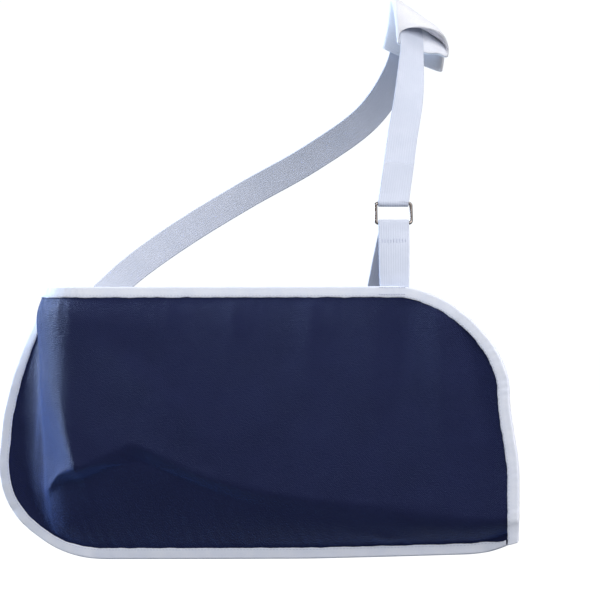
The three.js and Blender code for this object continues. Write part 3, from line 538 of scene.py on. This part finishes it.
RELIEF_GROWTH, HAND_GROWTH = (TAPE_WIDTH * 0.8, TAPE_WIDTH + 8), (TAPE_WIDTH, 26)
PUCKER_HEIGHT, PUCKER_REACH = 0.38, 14.0


def add_panel(name, side, top_inset, hand_inset, table, seed, replaced):
    """A panel: its surface with folds and puckers, given the cloth's thickness."""
    along, down = panel_grid(top_inset, hand_inset)
    points = cloth_point(side, along, down)
    normals = cloth_normal(side, along, down)
    hand_end = cloth_length - hand_inset
    top_gap = down - down[:1]
    bottom_gap = seam_distance(along, down)
    edge = np.minimum(top_gap, bottom_gap)
    fade = smoothstep(edge, *RELIEF_GROWTH) * smoothstep(hand_end - along, *HAND_GROWTH)
    puckers = random_waves(along, down, seed, 14, (9, 34), (-0.25, 0.25))
    puckers = PUCKER_HEIGHT * puckers * np.exp(-np.maximum(edge - TAPE_WIDTH, 0) / PUCKER_REACH)
    relief = folds(table, along, down) + puckers
    if side == "front":
        relief += elbow_face(along, down, bottom_gap)
    points = points + normals * (relief * fade)[..., None]
    mesh = grid_mesh(points, uv=np.stack([along, down], -1))
    piece = add_piece(name, mesh, pouch_cloth, replaced)
    wall = piece.modifiers.new("cloth_thickness", "SOLIDIFY")
    wall.thickness = CLOTH * METRE
    wall.offset = 0
    return piece


front_cloth = add_panel("front_cloth", "front", 0.0, 0.0, front_folds, 11, ["front_panel"])

# Back panel
# The same navy cloth, cut a little smaller at its top edge and hand side. It lies behind, flat where
# the front panel is full.
BACK_TOP_INSET, BACK_HAND_INSET, BACK_END_RISE = 3.0, 13.5, 7.0
back_folds = {
    "along": [330, 200, 120],
    "down": [70, 110, 90],
    "angle": [86, 60, 80],
    "length": [60, 60, 50],
    "width": [14, 18, 14],
    "height": [1.4, -1.4, 1.0],
}
back_cloth = add_panel("back_cloth", "back", BACK_TOP_INSET, BACK_HAND_INSET, back_folds, 23,
                       ["back_panel"])

# Front binding
# White tape folded lengthwise over the front panel's cut edge and stitched through. One length runs
# along the top, round the corner and down the hand side, where it laps over the bottom tape.
# The tape's lower colour is blue-grey: its slow patches are painted shade that stands in for soft puckers,
# spread at random.
tape_cloth, _ = cloth_material(
    "binding_tape", colours=((0.79, 0.82, 0.93), (0.89, 0.90, 0.96)), roughness=0.8,
    threads=(1100, 1100), slub=0.5, bump=(0.35, 0.00016), patch_scale=60.0, sheen=(0.05, 0.5))
# The stitch thread is grey-blue, darker than the tape: a real thread whose tone also holds painted shade of
# the stitch holes.
stitch_thread_with_painted_shade, _ = principled("stitch_thread_with_painted_shade", (0.60, 0.63, 0.76), 0.6)
STITCH_PITCH, STITCH_LENGTH, STITCH_RADIUS, STITCH_SINK = 3.0, 2.1, 0.24, 0.16
STITCH_LINE = 0.17  # of the tape's width, from its inner edge
STITCH_DIP, DIP_WIDTH, EDGE_DIP, EDGE_WIDTH = 0.30, 0.10, 0.35, 0.05
STRAIGHT_PUCKER, BENT_PUCKER, FULL_BEND, TAPE_SWAY = 0.13, 0.25, 0.016, 0.22
TAPE_STEP = 1.4


def arc_lengths(points):
    """Length along a line of points up to each of them: the running sum of the steps between them."""
    steps = np.linalg.norm(np.diff(points, axis=0), axis=1)
    return np.concatenate([[0], np.cumsum(steps)])


def line_at(line, lengths, places):
    """A line, or directions given along it, at places between its points, which lie at the lengths."""
    return np.stack([np.interp(places, lengths, line[:, axis]) for axis in range(line.shape[1])], -1)


def resampled(points, step):
    """The same line with its points at equal steps of length."""
    lengths = arc_lengths(points)
    return line_at(points, lengths, np.linspace(0, lengths[-1], int(round(lengths[-1] / step)) + 1))


def free_outline(top_inset, hand_inset, end_rise):
    """Outline of a panel's free edge in the flat cloth: along the top from the elbow corner, round the
    hand corner and down the hand edge, as the same curves that bound the panel."""
    hand_end = cloth_length - hand_inset
    reach = hand_end - (hand_end - HAND_CORNER["length"]) * np.linspace(1, 0, 800) ** 2
    along = np.concatenate([np.linspace(TOP_START, reach[0], 300), reach[1:]])
    down = top_edge(along, 0, top_inset, hand_end)
    end = POUCH_HEIGHT - SEAM_ALLOWANCE - TAPE_MARGIN - end_rise
    edge_down = np.linspace(down[-1], end, 200)[1:]
    along = np.concatenate([along, np.full(199, hand_end)])
    down = np.concatenate([down, edge_down])
    return resampled(np.stack([along - hand_slant(along, down, hand_end), down], -1), TAPE_STEP)


def inset_line(line, distance):
    """A line in the flat cloth moved into the cloth, each point at right angles to the line."""
    run = unit(np.gradient(line, axis=0))
    return line + distance * np.stack([-run[:, 1], run[:, 0]], -1)


def tape_section():
    """Profile of a folded tape as rows of share, out and height. Share runs from the tape's inner edge to
    the cloth's edge, out is past it as a share of the fold, and height is -1 to 1. The tape's outside
    comes first, and its inside is the same profile back again."""
    shares = np.linspace(0, 1, 9)
    turn = np.linspace(np.pi / 2, -np.pi / 2, 9)[1:-1]
    zeros, ones = np.zeros(9), np.ones(9)
    upper = np.stack([shares, zeros, ones], -1)
    fold = np.stack([np.ones(7), np.cos(turn), np.sin(turn)], -1)
    lower = np.stack([shares[::-1], zeros, -ones], -1)
    outside = np.concatenate([upper, fold, lower])
    return outside, outside[::-1]


def folded_tape(edge, inner, edge_normal, inner_normal, half, seed):
    """Tape over an edge: at each place along it the profile is laid out from the tape's inner line to the
    cloth's edge and past it, and up and down the normal. The outside dips at the stitched line and at
    the tape's edge, and has small waves, higher where the tape bends."""
    outwards = unit(edge - inner)
    outside, inside = tape_section()
    lengths = arc_lengths(edge)
    bending = np.linalg.norm(np.gradient(unit(np.gradient(edge, axis=0)), axis=0), axis=-1)
    bending = np.convolve(np.pad(bending, 8, mode="edge"), np.ones(17) / 17, "valid")
    puckers = (STRAIGHT_PUCKER + BENT_PUCKER * np.clip(bending / FULL_BEND, 0, 1))[:, None]
    upper_wave, lower_wave, sway = (random_waves(lengths + shift, 0, seed + number, 12, (5, 40))[:, None]
                                    for number, shift in enumerate((0, 400, 0)))
    rows = []
    for profile, height, past, relief in ((outside, half + TAPE, GAP + TAPE, 1), (inside, half, GAP, 0)):
        share, out, up = profile.T
        dips = (STITCH_DIP * np.exp(-((share - STITCH_LINE) / DIP_WIDTH) ** 2)
                + EDGE_DIP * np.exp(-(share / EDGE_WIDTH) ** 2))
        waves = puckers * np.where(up > 0, upper_wave, lower_wave) * share
        lift = height[:, None] * up + np.sign(up) * (1 - out) * (waves - dips) * relief
        base = inner[:, None] + (edge - inner)[:, None] * share[:, None]
        normal = unit(inner_normal[:, None] + (edge_normal - inner_normal)[:, None] * share[:, None])
        aside = past * out + TAPE_SWAY * sway * (1 - share)
        rows.append(base + outwards[:, None] * aside[..., None] + normal * lift[..., None])
    points = np.concatenate(rows, axis=1)
    around = arc_lengths(points[len(points) // 2])
    return end_capped(points, np.stack(np.broadcast_arrays(lengths[:, None], around), -1))


def end_capped(points, uv):
    """Mesh of a closed section carried along a path, its rows the sections. Each end is closed by a last
    section in which every point meets the point opposite, and what coincides is welded."""
    opposite = points[:, ::-1]
    first = (points[:1] + opposite[:1]) / 2
    last = (points[-1:] + opposite[-1:]) / 2
    closed = np.concatenate([first, points, last])
    mesh = grid_mesh(closed, wrap_columns=True, uv=np.concatenate([uv[:1], uv, uv[-1:]]))
    shape = bmesh.new()
    shape.from_mesh(mesh)
    bmesh.ops.remove_doubles(shape, verts=shape.verts, dist=1e-7)
    shape.to_mesh(mesh)
    shape.free()
    return mesh


def stitches(centres, runs, ups, length=STITCH_LENGTH, radius=STITCH_RADIUS):
    """Mesh of short thread ends: at each centre a spindle of four sides along the run, bulging up. Its
    four rings are thinner and lie deeper at both ends."""
    side = unit(np.cross(ups, runs))
    places = np.array([-0.5, -0.28, 0.28, 0.5])
    radii = np.array([0.35, 1, 1, 0.35]) * radius
    sinks = np.array([-0.8, 0, 0, -0.8]) * radius
    turn = np.arange(4) * np.pi / 2 + np.pi / 4
    points = (centres[:, None, None] + runs[:, None, None] * (places * length)[:, None, None]
              + ups[:, None, None] * (sinks[:, None] + radii[:, None] * np.sin(turn))[..., None]
              + side[:, None, None] * (radii[:, None] * np.cos(turn))[..., None])
    ring = np.arange(4)
    after = (ring + 1) % 4
    walls = [np.stack([ring, after, after + 4, ring + 4], -1) + first for first in (0, 4, 8)]
    quads = np.concatenate(walls + [[[3, 2, 1, 0]], [[12, 13, 14, 15]]])
    every = (quads[None] + 16 * np.arange(len(centres))[:, None, None]).reshape(-1, 4)
    return quad_mesh(points.reshape(-1, 3), every, outwards=False)


def add_tape(name, flat_edge, surface, half, seed, replaced, width_share=1.0):
    """A tape and its two rows of stitches. surface gives the point and normal at a place in the flat
    cloth, and half is the distance of the tape's inner face from it."""
    edge_line = inset_line(flat_edge, EDGE_INSET)
    inner_line = inset_line(flat_edge, SEAM_ALLOWANCE)
    edge, edge_normal = surface(edge_line[:, 0], edge_line[:, 1])
    inner, inner_normal = surface(inner_line[:, 0], inner_line[:, 1])
    inner = edge + (inner - edge) * np.broadcast_to(width_share, len(edge))[:, None]
    half = np.broadcast_to(half, len(edge))
    mesh = folded_tape(edge, inner, edge_normal, inner_normal, half, seed)
    tape = add_piece(name, mesh, tape_cloth, replaced)
    lengths = arc_lengths(edge)
    places = np.arange(STITCH_PITCH, lengths[-1] - STITCH_PITCH, STITCH_PITCH)
    runs = unit(line_at(np.gradient(edge, axis=0), lengths, places))
    middles = line_at(inner + (edge - inner) * STITCH_LINE, lengths, places)
    ups = line_at(inner_normal, lengths, places)
    proud = ups * np.interp(places, lengths, half + TAPE - STITCH_SINK)[:, None]
    centres = np.concatenate([middles + proud, middles - proud])
    rows = stitches(centres, np.tile(runs, (2, 1)), np.concatenate([ups, -ups]))
    rows = add_piece(name + "_stitches", rows, stitch_thread_with_painted_shade, [])


TOP_START, LAP_START, LAP_SOFTNESS = 23.0, 213.0, 9.0
PANEL_HALF = CLOTH / 2 + GAP


def front_surface(along, down):
    """The front panel's point and normal. Near the bottom seam it goes on straight down, for the tape
    that laps there: held is a soft minimum of down and the start of that stretch."""
    over = down - LAP_START
    held = down - (over + np.hypot(over, LAP_SOFTNESS)) / 2
    point = cloth_point("front", along, held)
    point[:, 2] -= (down - held) * column(lengthwise, "along", along / cloth_length, "height")
    return point, cloth_normal("front", along, held)


front_line = free_outline(0.0, 0.0, 0.0)
LAP_RISE, LAP_LENGTH = 1.5, 6.0
lap = np.stack([np.full(8, cloth_length), front_line[-1, 1] + np.linspace(0, LAP_LENGTH, 9)[1:]], -1)
front_line = np.concatenate([front_line, lap])
to_end = arc_lengths(front_line[::-1])[::-1]
front_half = PANEL_HALF + LAP_RISE * (1 - smoothstep(to_end, LAP_LENGTH - 2, LAP_LENGTH + 10))
add_tape("front_tape", front_line, front_surface, front_half, 31, ["front_binding"])

# Back binding
# The same folded tape on the back panel's free edge, up to a little above the bottom seam.
def back_surface(along, down):
    """The back panel's point and normal."""
    return cloth_point("back", along, down), cloth_normal("back", along, down)


back_line = free_outline(BACK_TOP_INSET, BACK_HAND_INSET, BACK_END_RISE)
add_tape("back_tape", back_line, back_surface, PANEL_HALF, 37, ["back_binding"])

# Seam binding
# One tape folded over the edges of both panels together. It closes the bottom and the elbow side,
# and narrows at the hand end, where it turns up behind the front binding.
SEAM_END_INSET = 9.0


def seam_surface(along, down, soft=7.0):
    """The seam plane's point, averaged as the cloth is, and the direction that it faces."""
    along, down = np.broadcast_arrays(np.asarray(along, float), np.asarray(down, float))
    steps = np.linspace(-soft, soft, 7)
    middle = np.mean([plan_points(along + step, down)[0] for step in steps], axis=0)
    ahead = np.mean([plan_points(along + step + 1, down)[0] for step in steps], axis=0)
    height = column(lengthwise, "along", along / cloth_length, "height")
    run = unit(ahead - middle)
    point = np.concatenate([middle, (-POUCH_TOP - down * height)[..., None]], -1)
    return point, np.stack([run[..., 1], -run[..., 0], np.zeros(run.shape[:-1])], -1)


bottom_along = np.linspace(cloth_length - SEAM_END_INSET, 0, 900)
corner_along = ELBOW_CORNER["length"] * np.linspace(1, 0, 900) ** 2
bottom_along = np.concatenate([bottom_along[bottom_along > ELBOW_CORNER["length"]], corner_along])
side_down = np.linspace(POUCH_HEIGHT - ELBOW_CORNER["height"], 0, 200)[1:]
seam_outline = np.concatenate([np.stack([bottom_along, bottom_edge(bottom_along, 0)], -1),
                               np.stack([np.zeros(199), side_down], -1)])
seam_outline = resampled(seam_outline, TAPE_STEP)
narrowing = mix(0.5, 1, smoothstep(arc_lengths(seam_outline), 0, 22))
seam_half = CLOTH + SEAM_GAP / 2 + GAP
add_tape("seam_tape", seam_outline, seam_surface, seam_half, 41, ["seam_binding"], narrowing)

# Ring
# Nickel-plated wire bent to a rectangle with rounded corners. It hangs in the webbing, and the tab
# hangs from it.
RING_WIRE, RING_OPENING, RING_HEIGHT = 2.4, 26.4, 16.5
PLATING = 0.15
RING_ASIDE, RING_FORWARD, RING_DROP = -21.6, 113.0, 166.0
RING_SLOPE = np.radians(28)
ring_centre = np.array([RING_ASIDE, -RING_FORWARD, -RING_DROP])
ring_up = np.array([0, np.sin(RING_SLOPE), np.cos(RING_SLOPE)])
ring_out = np.array([0, -np.cos(RING_SLOPE), np.sin(RING_SLOPE)])
sideways = np.array([1.0, 0, 0])
BAR_RISE = (RING_HEIGHT + RING_WIRE) / 2


def near_ring(up, out, aside=0.0):
    """A point beside the ring's centre: up its plane, out to the front and aside."""
    up, out, aside = (np.asarray(value, float)[..., None] for value in (up, out, aside))
    return ring_centre + up * ring_up + out * ring_out + aside * sideways


def wire_ring():
    """A circle of the wire's radius carried round a rectangle whose corners are quarter circles."""
    corner = RING_WIRE
    half = np.array([(RING_OPENING + RING_WIRE) / 2 - corner, BAR_RISE - corner])
    rings = []
    for quarter, (sx, sz) in enumerate(((1, 1), (-1, 1), (-1, -1), (1, -1))):
        angle = (quarter + np.linspace(0, 1, 9)) * np.pi / 2
        outwards = np.cos(angle)[:, None] * sideways + np.sin(angle)[:, None] * ring_up
        rings.append((near_ring(sz * half[1], 0, sx * half[0]) + corner * outwards, outwards))
    middle, outwards = (np.concatenate(part) for part in zip(*rings))
    turn = np.linspace(0, 2 * np.pi, 20, endpoint=False)
    radius = RING_WIRE / 2 + PLATING
    points = (middle[:, None] + radius * np.cos(turn)[None, :, None] * outwards[:, None]
              + radius * np.sin(turn)[None, :, None] * ring_out)
    return grid_mesh(points, wrap_rows=True, wrap_columns=True)


# The nickel's base colour is dark and brownish: a painted reflection of skin and dark surroundings, darker
# than the plating's own colour.
nickel_with_painted_reflection, nickel_shader = principled("nickel_with_painted_reflection", (0.30, 0.26, 0.24), 0.24)
add_node = node_maker(nickel_with_painted_reflection.node_tree)
on_wire = add_node("ShaderNodeTexCoord").outputs["Object"]
scuffs = add_node("ShaderNodeTexNoise", {"Vector": on_wire, "Scale": 900.0, "Detail": 6.0,
                                         "Roughness": 0.7}).outputs["Fac"]
worn = add_node("ShaderNodeMapRange", {"Value": scuffs, "From Min": 0.35, "From Max": 0.7,
                                       "To Min": 0.16, "To Max": 0.38})
dents = add_node("ShaderNodeBump", {"Height": scuffs, "Strength": 0.12, "Distance": 0.0004})
fill_inputs(nickel_shader, {"Metallic": 1.0, "Roughness": worn.outputs[0],
                            "Normal": dents.outputs["Normal"]})
add_piece("wire_ring", wire_ring(), nickel_with_painted_reflection, ["ring"])

# Tab
# A short length of the white webbing round the ring's lower bar. Its front leg is sewn inside the
# front panel's top edge, its back leg inside the back panel's.
WEBBING_WIDTH, WEBBING = 25.0, 1.5
JOIN_RISE, LEG_OVERLAP = 9.0, 28.0
FRONT_LEG_SHIFT, BACK_LEG_SHIFT = 1.5, 8.5
BAR_TURN = RING_WIRE / 2 + GAP + WEBBING / 2
LAYER_HALF = (WEBBING + GAP) / 2


def smooth_line(knots, steps):
    """A centripetal Catmull-Rom curve through knots: on each span a cubic whose end slopes come from the
    neighbours, weighted by the square roots of the distances. steps points to a span."""
    knots = np.concatenate([[2 * knots[0] - knots[1]], knots, [2 * knots[-1] - knots[-2]]])
    x0, x1, x2, x3 = (knots[i:len(knots) - 3 + i, None] for i in range(4))
    d0, d1, d2 = (np.sqrt(np.linalg.norm(b[..., :3] - a[..., :3], axis=-1, keepdims=True))
                  for a, b in ((x0, x1), (x1, x2), (x2, x3)))
    slope1 = ((x1 - x0) / d0 - (x2 - x0) / (d0 + d1) + (x2 - x1) / d1) * d1
    slope2 = ((x2 - x1) / d1 - (x3 - x1) / (d1 + d2) + (x3 - x2) / d2) * d1
    t = np.linspace(0, 1, steps, endpoint=False)[None, :, None]
    curve = (x1 + slope1 * t + (3 * (x2 - x1) - 2 * slope1 - slope2) * t ** 2
             + (2 * (x1 - x2) + slope1 + slope2) * t ** 3)
    return np.concatenate([curve.reshape(-1, knots.shape[1]), knots[-2:-1]])


def webbing_mesh(middle, across):
    """Flat webbing along a path: a thin section with fine ribs lengthwise and thicker woven edges. The
    height over the width is half the thickness, rounded off at both edges, plus a cosine for the ribs."""
    run = unit(np.gradient(middle, axis=0))
    across = square_to(run, across)
    face = np.cross(run, across)
    even = np.linspace(-1, 1, 61)
    share = mix(even, np.sin(even * np.pi / 2), 0.35)
    rounding = (1 - np.abs(share) ** 16) ** 0.5
    ribs = 0.07 * np.cos(share * np.pi * 13) * (1 - np.abs(share) ** 8)
    selvedge = 0.14 * np.exp(-((np.abs(share) - 0.93) / 0.035) ** 2)
    high = (WEBBING / 2 - 0.08 + selvedge) * rounding + ribs
    wide = np.concatenate([share, share[::-1]]) * WEBBING_WIDTH / 2
    tall = np.concatenate([high, -high[::-1]])
    points = laid_out(middle, (across, wide), (face, tall))
    uv = np.stack(np.broadcast_arrays(wide, arc_lengths(middle)[:, None]), -1)
    return end_capped(points, uv)


def beside_panel(side, along, down, distance):
    """A place beside a panel: its point, and the direction along the cloth there."""
    along, down = np.asarray(along, float), np.asarray(down, float)
    point = cloth_point(side, along, down) + cloth_normal(side, along, down) * distance
    return point, unit(cloth_point(side, along + 1, down) - cloth_point(side, along, down))


def along_where(side, x):
    """Place along the cloth where a panel's top edge is at a given X, found by stepping the difference."""
    along = ELBOW_WRAP + 0.7 * flat_length
    for _ in range(4):
        along += x - cloth_point(side, along, 0.0)[0]
    return along


def tab_path():
    """Stations of the tab: up inside the front panel, to the ring's lower bar, half round it and down to
    the back panel. Gives each station's point and the direction across the webbing."""
    inside = -(CLOTH / 2 + 3 * GAP + TAPE + WEBBING / 2)
    downs = np.array([LEG_OVERLAP, LEG_OVERLAP / 2, 0])
    front_along = np.full(3, along_where("front", RING_ASIDE - FRONT_LEG_SHIFT))
    back_along = np.full(3, along_where("back", RING_ASIDE - BACK_LEG_SHIFT))
    front, front_across = beside_panel("front", front_along, downs, inside)
    back, back_across = beside_panel("back", back_along, downs[::-1] + BACK_TOP_INSET, inside)
    turn = np.pi * np.linspace(0, 1, 9)
    bar = near_ring(-BAR_RISE + np.sin(turn) * BAR_TURN, np.cos(turn) * BAR_TURN)
    rises = np.array([-BAR_RISE - JOIN_RISE, -BAR_RISE - JOIN_RISE / 2])
    outs = np.array([LAYER_HALF, (LAYER_HALF + BAR_TURN) / 2])
    parting = near_ring(rises, outs)
    meeting = near_ring(rises[::-1], -outs[::-1])
    shares = np.array([0.25, 0.5, 0.75])
    middle = np.concatenate([front, between(front[-1], parting[0], shares), parting, bar, meeting,
                             between(meeting[-1], back[0], shares), back])
    across = np.concatenate([front_across, between(front_across[-1], sideways, shares),
                             np.tile(sideways, (13, 1)), between(sideways, back_across[0], shares),
                             back_across])
    return middle, across


webbing_cloth, _ = cloth_material(
    "webbing", colours=((0.58, 0.62, 0.73), (0.67, 0.70, 0.81)), roughness=0.72, threads=(620, 1300),
    slub=0.15, bump=(0.1, 0.0002), patch_scale=40.0, sheen=(0.05, 0.5))
# The webbing's thread is darker than the webbing: a real thread whose tone also holds painted shade of the
# stitch holes.
webbing_thread_with_painted_shade, _ = principled("webbing_thread_with_painted_shade", (0.42, 0.45, 0.58), 0.7)
tab_middle, tab_across = tab_path()
tab_line = smooth_line(np.concatenate([tab_middle, tab_across], 1), 6)
tab_middle, tab_across = tab_line[:, :3], unit(tab_line[:, 3:])
tab_lengths = arc_lengths(tab_middle)
tab = add_piece("tab", webbing_mesh(tab_middle, tab_across), webbing_cloth, ["ring_loop"])

# A row of stitches joins both legs under the ring, and two rows tack the tab to the top tape
JOIN_DROP = 23.5
front_leg = tab_middle[:len(tab_middle) // 2]
join_place = tab_lengths[np.argmin(np.abs(front_leg[:, 2] - ring_centre[2] + JOIN_DROP))]
join_run = unit(line_at(np.gradient(tab_middle, axis=0), tab_lengths, join_place))
join_across = unit(line_at(tab_across, tab_lengths, join_place))
join_up = -unit(np.cross(join_run, join_across))
join_centres = (line_at(tab_middle, tab_lengths, join_place) + join_up * (WEBBING / 2 + 0.05)
                + join_across * np.linspace(-9.5, 9.5, 9)[:, None])
join_mesh = stitches(join_centres, np.tile(join_run, (9, 1)), np.tile(join_up, (9, 1)), 4.5)
join_row = add_piece("tab_stitches", join_mesh, webbing_thread_with_painted_shade, [])
tack_along = along_where("front", RING_ASIDE - FRONT_LEG_SHIFT) + np.arange(-10.5, 10.6, 2.1)
tack_down = np.repeat([1.2, 7.0], len(tack_along))
tack_along = np.tile(tack_along, 2)
tack_normal = cloth_normal("front", tack_along, tack_down)
tack_centres, tack_runs = beside_panel("front", tack_along, tack_down, PANEL_HALF + TAPE + 0.12)
tack_mesh = stitches(tack_centres, tack_runs, tack_normal, 1.5, 0.3)
tack_row = add_piece("tack_stitches", tack_mesh, webbing_thread_with_painted_shade, [])

# Shoulder strap
# White webbing. Its front end is folded round the ring's upper bar and sewn back on itself. It runs
# up through the pad and down behind to the elbow end of the back panel, where it is sewn on.
FOLD_BACK, STRAP_LEAN, STRAP_SPREAD = 38.0, 0.14, 105.0
STRAP_END_OVERLAP, STRAP_END_INSET = 27.0, 30.0
PAD_WIDTH, PAD_LAYER, PAD_EDGE, PAD_SLOT, PAD_OFFSET = 58.0, 2.8, 1.3, 2.4, 9.5
ROUTE_STEPS = 24
CREST_SLOPE = np.radians(41)
crest_out = np.array([np.sin(CREST_SLOPE), 0, np.cos(CREST_SLOPE)])
crest_across = np.array([np.cos(CREST_SLOPE), 0, -np.sin(CREST_SLOPE)])
crest = crest_out * (PAD_LAYER + PAD_SLOT / 2) - crest_across * PAD_OFFSET
front_route = {
    "up": [0.330, 0.540, 0.760, 0.875, 0.965],
    "aside": [0.50, 0.86, 1.06, 1.06, 1.02],
    "forward": [0.700, 0.535, 0.375, 0.300, 0.170],
    "face": [(0.05, -0.88, 0.47), (0.24, -0.84, 0.46), (0.56, -0.72, 0.42), (0.58, -0.62, 0.54),
             (0.63, -0.32, 0.70)],
}
back_route = {
    "down": [0.025, 0.085, 0.185, 0.330, 0.470, 0.610, 0.745, 0.870, 0.950],
    "across": [0.000, 0.005, 0.030, 0.120, 0.300, 0.530, 0.730, 0.885, 0.960],
    "behind": [0.18, 0.34, 0.51, 0.73, 0.91, 1.00, 0.93, 0.74, 0.54],
    "face": [(0.62, 0.32, 0.70), (0.52, 0.66, 0.54), (0.35, 0.86, 0.34), (0.15, 0.96, 0.20),
             (0.02, 1.00, 0.06), (-0.02, 1.00, 0.00), (-0.15, 0.98, 0.00), (-0.35, 0.92, 0.00),
             (-0.25, 0.95, 0.00)],
}


def strap_end():
    """The folded end at the ring: down in front, half round the upper bar and up behind. It leans
    as it rises."""
    turn = np.pi * np.linspace(0, 1, 9)
    half_way = (LAYER_HALF + BAR_TURN) / 2
    ups = np.array([FOLD_BACK, (FOLD_BACK + JOIN_RISE) / 2, JOIN_RISE, JOIN_RISE / 2])
    outs = np.array([LAYER_HALF, LAYER_HALF, LAYER_HALF, half_way])
    up = BAR_RISE + np.concatenate([ups, -np.sin(turn) * BAR_TURN, ups[::-1]])
    out = np.concatenate([outs, np.cos(turn) * BAR_TURN, -outs[::-1]])
    return near_ring(up, out, STRAP_LEAN * np.maximum(up - BAR_RISE, 0))


def strap_route():
    """The strap past its folded end, as a curve through the routes' knots, with the direction that it
    faces and the number of the curve's point at the crest."""
    stand_off = CLOTH / 2 + 2.5 * GAP + TAPE + WEBBING / 2
    sewn_along = STRAP_END_INSET + STRAP_END_OVERLAP * np.linspace(1, 0, 5)
    sewn_down = np.full(5, BACK_TOP_INSET + WEBBING_WIDTH / 2 + 1)
    sewn, _ = beside_panel("back", sewn_along, sewn_down, stand_off)
    bar = near_ring(BAR_RISE, 0)
    start = strap_end()[-1]
    front = np.stack([mix(bar[0], crest[0], np.array(front_route["aside"])),
                      mix(crest[1], bar[1], np.array(front_route["forward"])),
                      mix(bar[2], crest[2], np.array(front_route["up"]))], -1)
    back = np.stack([mix(crest[0], sewn[0, 0], np.array(back_route["across"])),
                     np.array(back_route["behind"]) * STRAP_SPREAD,
                     mix(crest[2], sewn[0, 2], np.array(back_route["down"]))], -1)
    knots = np.concatenate([[start], front, [crest], back, sewn])
    faces = np.concatenate([[ring_out], front_route["face"], [crest_out], back_route["face"],
                            cloth_normal("back", sewn_along, sewn_down)])
    line = smooth_line(np.concatenate([knots, faces], 1), ROUTE_STEPS)
    return line[:, :3], unit(line[:, 3:]), ROUTE_STEPS * (len(front) + 1)


end_line = smooth_line(strap_end(), 6)
route, route_faces, crest_index = strap_route()
crest_index += len(end_line) - 1
route_across = unit(np.cross(np.gradient(route, axis=0), route_faces))
strap_middle = np.concatenate([end_line[:-1], route])
strap_across = np.concatenate([np.tile(sideways, (len(end_line) - 1, 1)), route_across])
strap_mesh = webbing_mesh(strap_middle, strap_across)
strap = add_piece("strap", strap_mesh, webbing_cloth, ["shoulder_strap"])

# Neck pad
# A sleeve of two soft white layers, folded along both sides. The strap runs through it, and the upper
# layer stands up in a low arch at its front end.
PAD_FRONT, PAD_BACK = 46.0, 56.0
MOUTH_ARCH, MOUTH_RETRACT, MOUTH_SHIFT, MOUTH_TAPER = 11.0, 7.0, 2.5, 4.0
MOUTH_TIP, MOUTH_LIP = 3.0, 7.0
pad_turn = np.linspace(0, 2 * np.pi, 112, endpoint=False)


def signed_power(values, exponent):
    """Values raised to a power, each with its own sign."""
    return np.sign(values) * np.abs(values) ** exponent


HEM_HEIGHT, HEM_WIDTH, HEM_INSET = 0.35, 0.9, 3.0


def hem(from_end):
    """Depth of the stitched groove near an end of the sleeve, at a distance from that end."""
    return HEM_HEIGHT * np.exp(-((from_end - HEM_INSET) / HEM_WIDTH) ** 2)


def pad_points():
    """The sleeve as rows round it, its outside from front to back and its channel from back to front.
    Each row is a superellipse, lifted over its upper half by the arch and drawn back there at the mouth."""
    lengths = arc_lengths(strap_middle)
    share = np.linspace(0, 1, 110)
    reach = mix(-PAD_FRONT, PAD_BACK, share - 0.12 * np.sin(2 * np.pi * share))
    places = reach + lengths[crest_index]
    run = unit(line_at(np.gradient(strap_middle, axis=0), lengths, places))
    across = square_to(run, line_at(strap_across, lengths, places))
    out = np.cross(across, run)
    forward = np.maximum(-reach / PAD_FRONT, 0)[:, None]
    middle = line_at(strap_middle, lengths, places) + across * (PAD_OFFSET + MOUTH_SHIFT * forward)
    half_pad = (PAD_WIDTH - MOUTH_TAPER * forward) / 2
    groove = (hem(reach + PAD_FRONT) + hem(PAD_BACK - reach))[:, None]
    outer_height = PAD_SLOT / 2 + PAD_LAYER - groove
    sides = []
    for inset, half_height, flatness, rise in ((0, outer_height, 0.45, 1.5),
                                               (PAD_EDGE, PAD_SLOT / 2, 0.2, 9)):
        wide = signed_power(np.cos(pad_turn), 0.7) * (half_pad - inset)
        rounding = signed_power(np.sin(pad_turn), flatness)
        high = rounding * half_height
        upper = np.maximum(rounding, 0)
        arch = upper * MOUTH_ARCH * forward ** rise * (1 - (wide / (half_pad - inset)) ** 2)
        if inset:
            high = high * mix(1, 0.3, smoothstep(wide, 4, 9))
        tip = (smoothstep(wide / half_pad, 0.55, 1.0) * MOUTH_TIP
               + (1 - upper) * MOUTH_LIP * (1 - 0.8 * smoothstep(wide / half_pad, 0.1, 1.0)))
        back_set = upper * MOUTH_RETRACT * forward - tip * forward ** 4
        sides.append(laid_out(middle, (across, wide), (out, high + arch), (run, back_set)))
    return np.concatenate([sides[0], sides[1][::-1]])


pad_cloth, pad_shader = cloth_material(
    "pad_cloth", colours=((0.78, 0.78, 0.85), (0.86, 0.86, 0.91)), roughness=0.9, threads=(900, 900),
    slub=1.2, bump=(0.35, 0.0002), patch_scale=70.0, sheen=(0.08, 0.6))
fill_inputs(pad_shader, {"Subsurface Weight": 0.5, "Subsurface Radius": (1, 1, 1),
                         "Subsurface Scale": 0.008})
pad_grid = pad_points()
pad_uv = np.stack(np.broadcast_arrays(np.arange(len(pad_grid))[:, None] * 1.4, pad_turn * 20), -1)
pad_mesh = grid_mesh(pad_grid, wrap_rows=True, wrap_columns=True, uv=pad_uv)
pad = add_piece("pad", pad_mesh, pad_cloth, ["neck_pad"])
